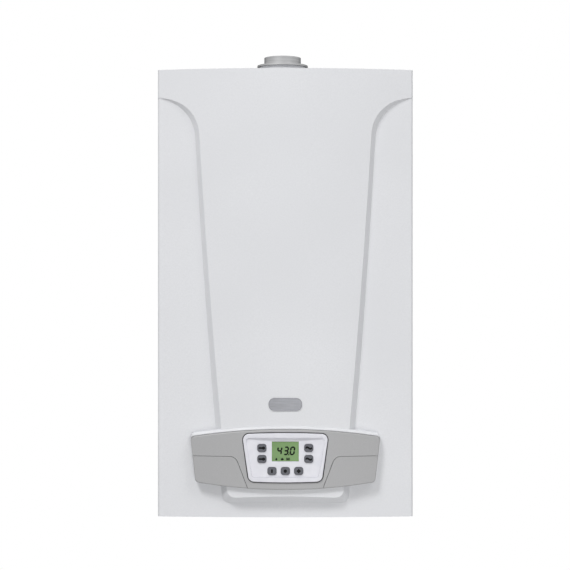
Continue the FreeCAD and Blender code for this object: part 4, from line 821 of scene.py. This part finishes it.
# Buttons: seven caps of dark grey plastic, each sliding in its own hole of the fascia.
# They are moulded with a satin grain, and their signs are printed in black.
buttons = [name for name in frame["nodes"] if name.startswith("button_")]
grained(
    "button_plastic",
    buttons,
    grain=0.6 * MM,
    tones=("#4F5057", "#5A5B62"),
    gloss=(0.36, 0.46),
    relief=0.02 * MM,
    IOR=1.5,
)
handle_size = Vector((5.8, 2.8)) * MM
handle_shift = -2.3 * MM
bulb_size = Vector((5.4, 4.8)) * MM
bulb_shift = 2.5 * MM
round_sides = 32
wave_length = 10.2 * MM
wave_swing = 1.1 * MM
wave_stroke = 3.1 * MM
upright_size = Vector((2.8, 5.6)) * MM
dot_size = Vector((5.4, 5.4)) * MM
diamond_size = Vector((7.4, 7.4)) * MM
diamond_sides = 4
for button in buttons:
    button_low, button_high = (Vector(corner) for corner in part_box(button))
    x = (button_low.x + button_high.x) / 2
    z = (button_low.z + button_high.z) / 2
    front = button_low.y
    position = button.removeprefix("button_")
    sign = bmesh.new()
    if position.startswith("left"):
        add_bar(sign, x + handle_shift, z, *handle_size, front)
        add_disc(sign, round_sides, x + bulb_shift, z, *bulb_size, front)
    elif position.startswith("right"):
        wave = bmesh.ops.create_grid(
            sign,
            x_segments=24,
            y_segments=1,
            size=0.5,
            matrix=Matrix.Translation((x, front - ink_gauge, z))
            @ Matrix.Diagonal((wave_length, 1, wave_stroke, 1))
            @ Matrix.Rotation(math.radians(90), 4, "X"),
        )["verts"]
        for vert in wave:
            vert.co.z -= wave_swing * math.sin((vert.co.x - x) / wave_length * 2 * math.pi)
        draw_out(sign, sign.faces[:], (0, ink_gauge, 0))
    elif position == "bottom_left":
        add_bar(sign, x, z, *upright_size, front)
    elif position == "bottom_centre":
        add_disc(sign, round_sides, x, z, *dot_size, front)
    else:
        add_disc(sign, diamond_sides, x, z, *diamond_size, front)
    new_piece(f"sign_{position}", sign, black_print, button)

# Badge plate above the panel: a blank of brushed aluminium, stuck to the casing.
# Its face is crowned with the casing, its edge is rolled, and the brushing runs across.
badge_size = Vector((52.0, 1.4, 20.0)) * MM
badge_z = 177.6 * MM
badge_corner = 9 * MM
badge_edge = 0.5 * MM
bend_pitch = 2 * MM
well_ahead = 0.5
brush_stretch = 30
brushed = grained(
    "brushed_aluminium",
    grain=0.8 * MM,
    tones=("#7E7F83", "#929397"),
    gloss=(0.3, 0.42),
    stretch=(1 / brush_stretch, 1.0, 1.0),
    span=streak_span,
    Metallic=1.0,
)
badge = bmesh.new()
bmesh.ops.create_cube(badge, size=1.0, matrix=Matrix.Diagonal((*badge_size, 1)))
corners = [e for e in badge.edges if abs(e.verts[0].co.y - e.verts[1].co.y) > badge_size.y / 2]
bmesh.ops.bevel(
    badge,
    geom=corners,
    offset=badge_corner,
    affect="EDGES",
    segments=10,
    profile=0.5,
    material=-1,
)
rim = [edge for edge in badge.edges if all(vert.co.y < 0 for vert in edge.verts)]
bmesh.ops.bevel(
    badge, geom=rim, offset=badge_edge, affect="EDGES", segments=3, profile=0.5, material=-1
)
for cut in range(int(badge_size.x / bend_pitch)):
    bmesh.ops.bisect_plane(
        badge,
        geom=badge.verts[:] + badge.edges[:] + badge.faces[:],
        plane_co=(cut * bend_pitch - badge_size.x / 2, 0, 0),
        plane_no=(1, 0, 0),
    )
for vert in badge.verts:
    start = Vector((vert.co.x, -well_ahead, badge_z + vert.co.z))
    on_casing = frame["nodes"]["front_casing"].ray_cast(start, (0, 1, 0))[1]
    vert.co = (start.x, on_casing.y + vert.co.y - badge_size.y / 2, start.z)
new_piece("badge_blank", badge, brushed, "casing")

# Studio: a pale floor under the boiler, white all round, a key lamp high on the left, a weaker one
# across from it and a faint fill below. The camera stands in front, level with the casing's middle.
boiler_low, boiler_high = (Vector(corner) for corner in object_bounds())
floor_drop = 2.7
floor_reach = 6.0
white_tone = linear("#FFFFFF")
floor_tone = linear("#F4F4F4")
ambient_level = 0.27
camera_distance = 2.3
camera_height = 0.363
camera_side = -0.5 * MM
casing_front = 262 * MM
view_width = 0.894

studio_white, tree, sockets = new_material("studio_white", Roughness=0.9)
sockets["Base Color"].default_value = floor_tone
rays = add_node(tree, "ShaderNodeLightPath")
plain_white = add_node(tree, "ShaderNodeEmission", {"Strength": 1.0})
add_node(
    tree,
    "ShaderNodeMixShader",
    {0: rays.outputs["Is Camera Ray"], 1: tree.nodes["Principled BSDF"], 2: plain_white},
    feeds=tree.nodes["Material Output"].inputs["Surface"],
)
floor_mesh = bmesh.new()
bmesh.ops.create_grid(
    floor_mesh,
    x_segments=1,
    y_segments=1,
    size=floor_reach,
    matrix=Matrix.Translation((0, 0, boiler_low.z - floor_drop)),
)
floor = bpy.data.objects.new("floor", bpy.data.meshes.new("floor"))
floor_mesh.to_mesh(floor.data)
floor_mesh.free()
floor.data.materials.append(studio_white)
bpy.context.scene.collection.objects.link(floor)
floor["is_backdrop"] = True

world = bpy.data.worlds.new("studio")
bpy.context.scene.world = world
world.use_nodes = True
tree = world.node_tree
background = tree.nodes["Background"].inputs
background["Color"].default_value = white_tone
rays = add_node(tree, "ShaderNodeLightPath")
mirrored = add_node(
    tree,
    "ShaderNodeMath",
    {0: rays.outputs["Is Glossy Ray"], 1: rays.outputs["Is Transmission Ray"]},
    operation="MAXIMUM",
)
seen = add_node(
    tree, "ShaderNodeMath", {0: rays.outputs["Is Camera Ray"], 1: mirrored}, operation="MAXIMUM"
)
add_node(
    tree,
    "ShaderNodeMapRange",
    {"Value": seen, "To Min": ambient_level, "To Max": 1.0},
    feeds=background["Strength"],
)


def soft_box(name, place, width, power):
    """A square lamp that faces the middle of the boiler."""
    lamp = bpy.data.lights.new(name, "AREA")
    lamp.size = width
    lamp.energy = power
    stand = bpy.data.objects.new(name, lamp)
    stand.location = place
    aim = (boiler_low + boiler_high) / 2 - Vector(place)
    stand.rotation_euler = aim.to_track_quat("-Z", "Y").to_euler()
    bpy.context.scene.collection.objects.link(stand)


soft_box("key", place=(-1.5, -2.7, 3.7), width=1.2, power=108)
soft_box("cross", place=(2.0, -2.2, 3.0), width=1.2, power=30)
soft_box("fill", place=(0.4, -2.4, -0.9), width=1.4, power=18)

camera = bpy.data.cameras.new("front_view")
camera.lens = camera.sensor_width * camera_distance / view_width
viewer = bpy.data.objects.new("front_view", camera)
viewer.location = (camera_side, -casing_front - camera_distance, camera_height)
viewer.rotation_euler = (math.radians(90), 0, 0)
bpy.context.scene.collection.objects.link(viewer)
bpy.context.scene.camera = viewer
bpy.context.scene.view_settings.view_transform = "Standard"
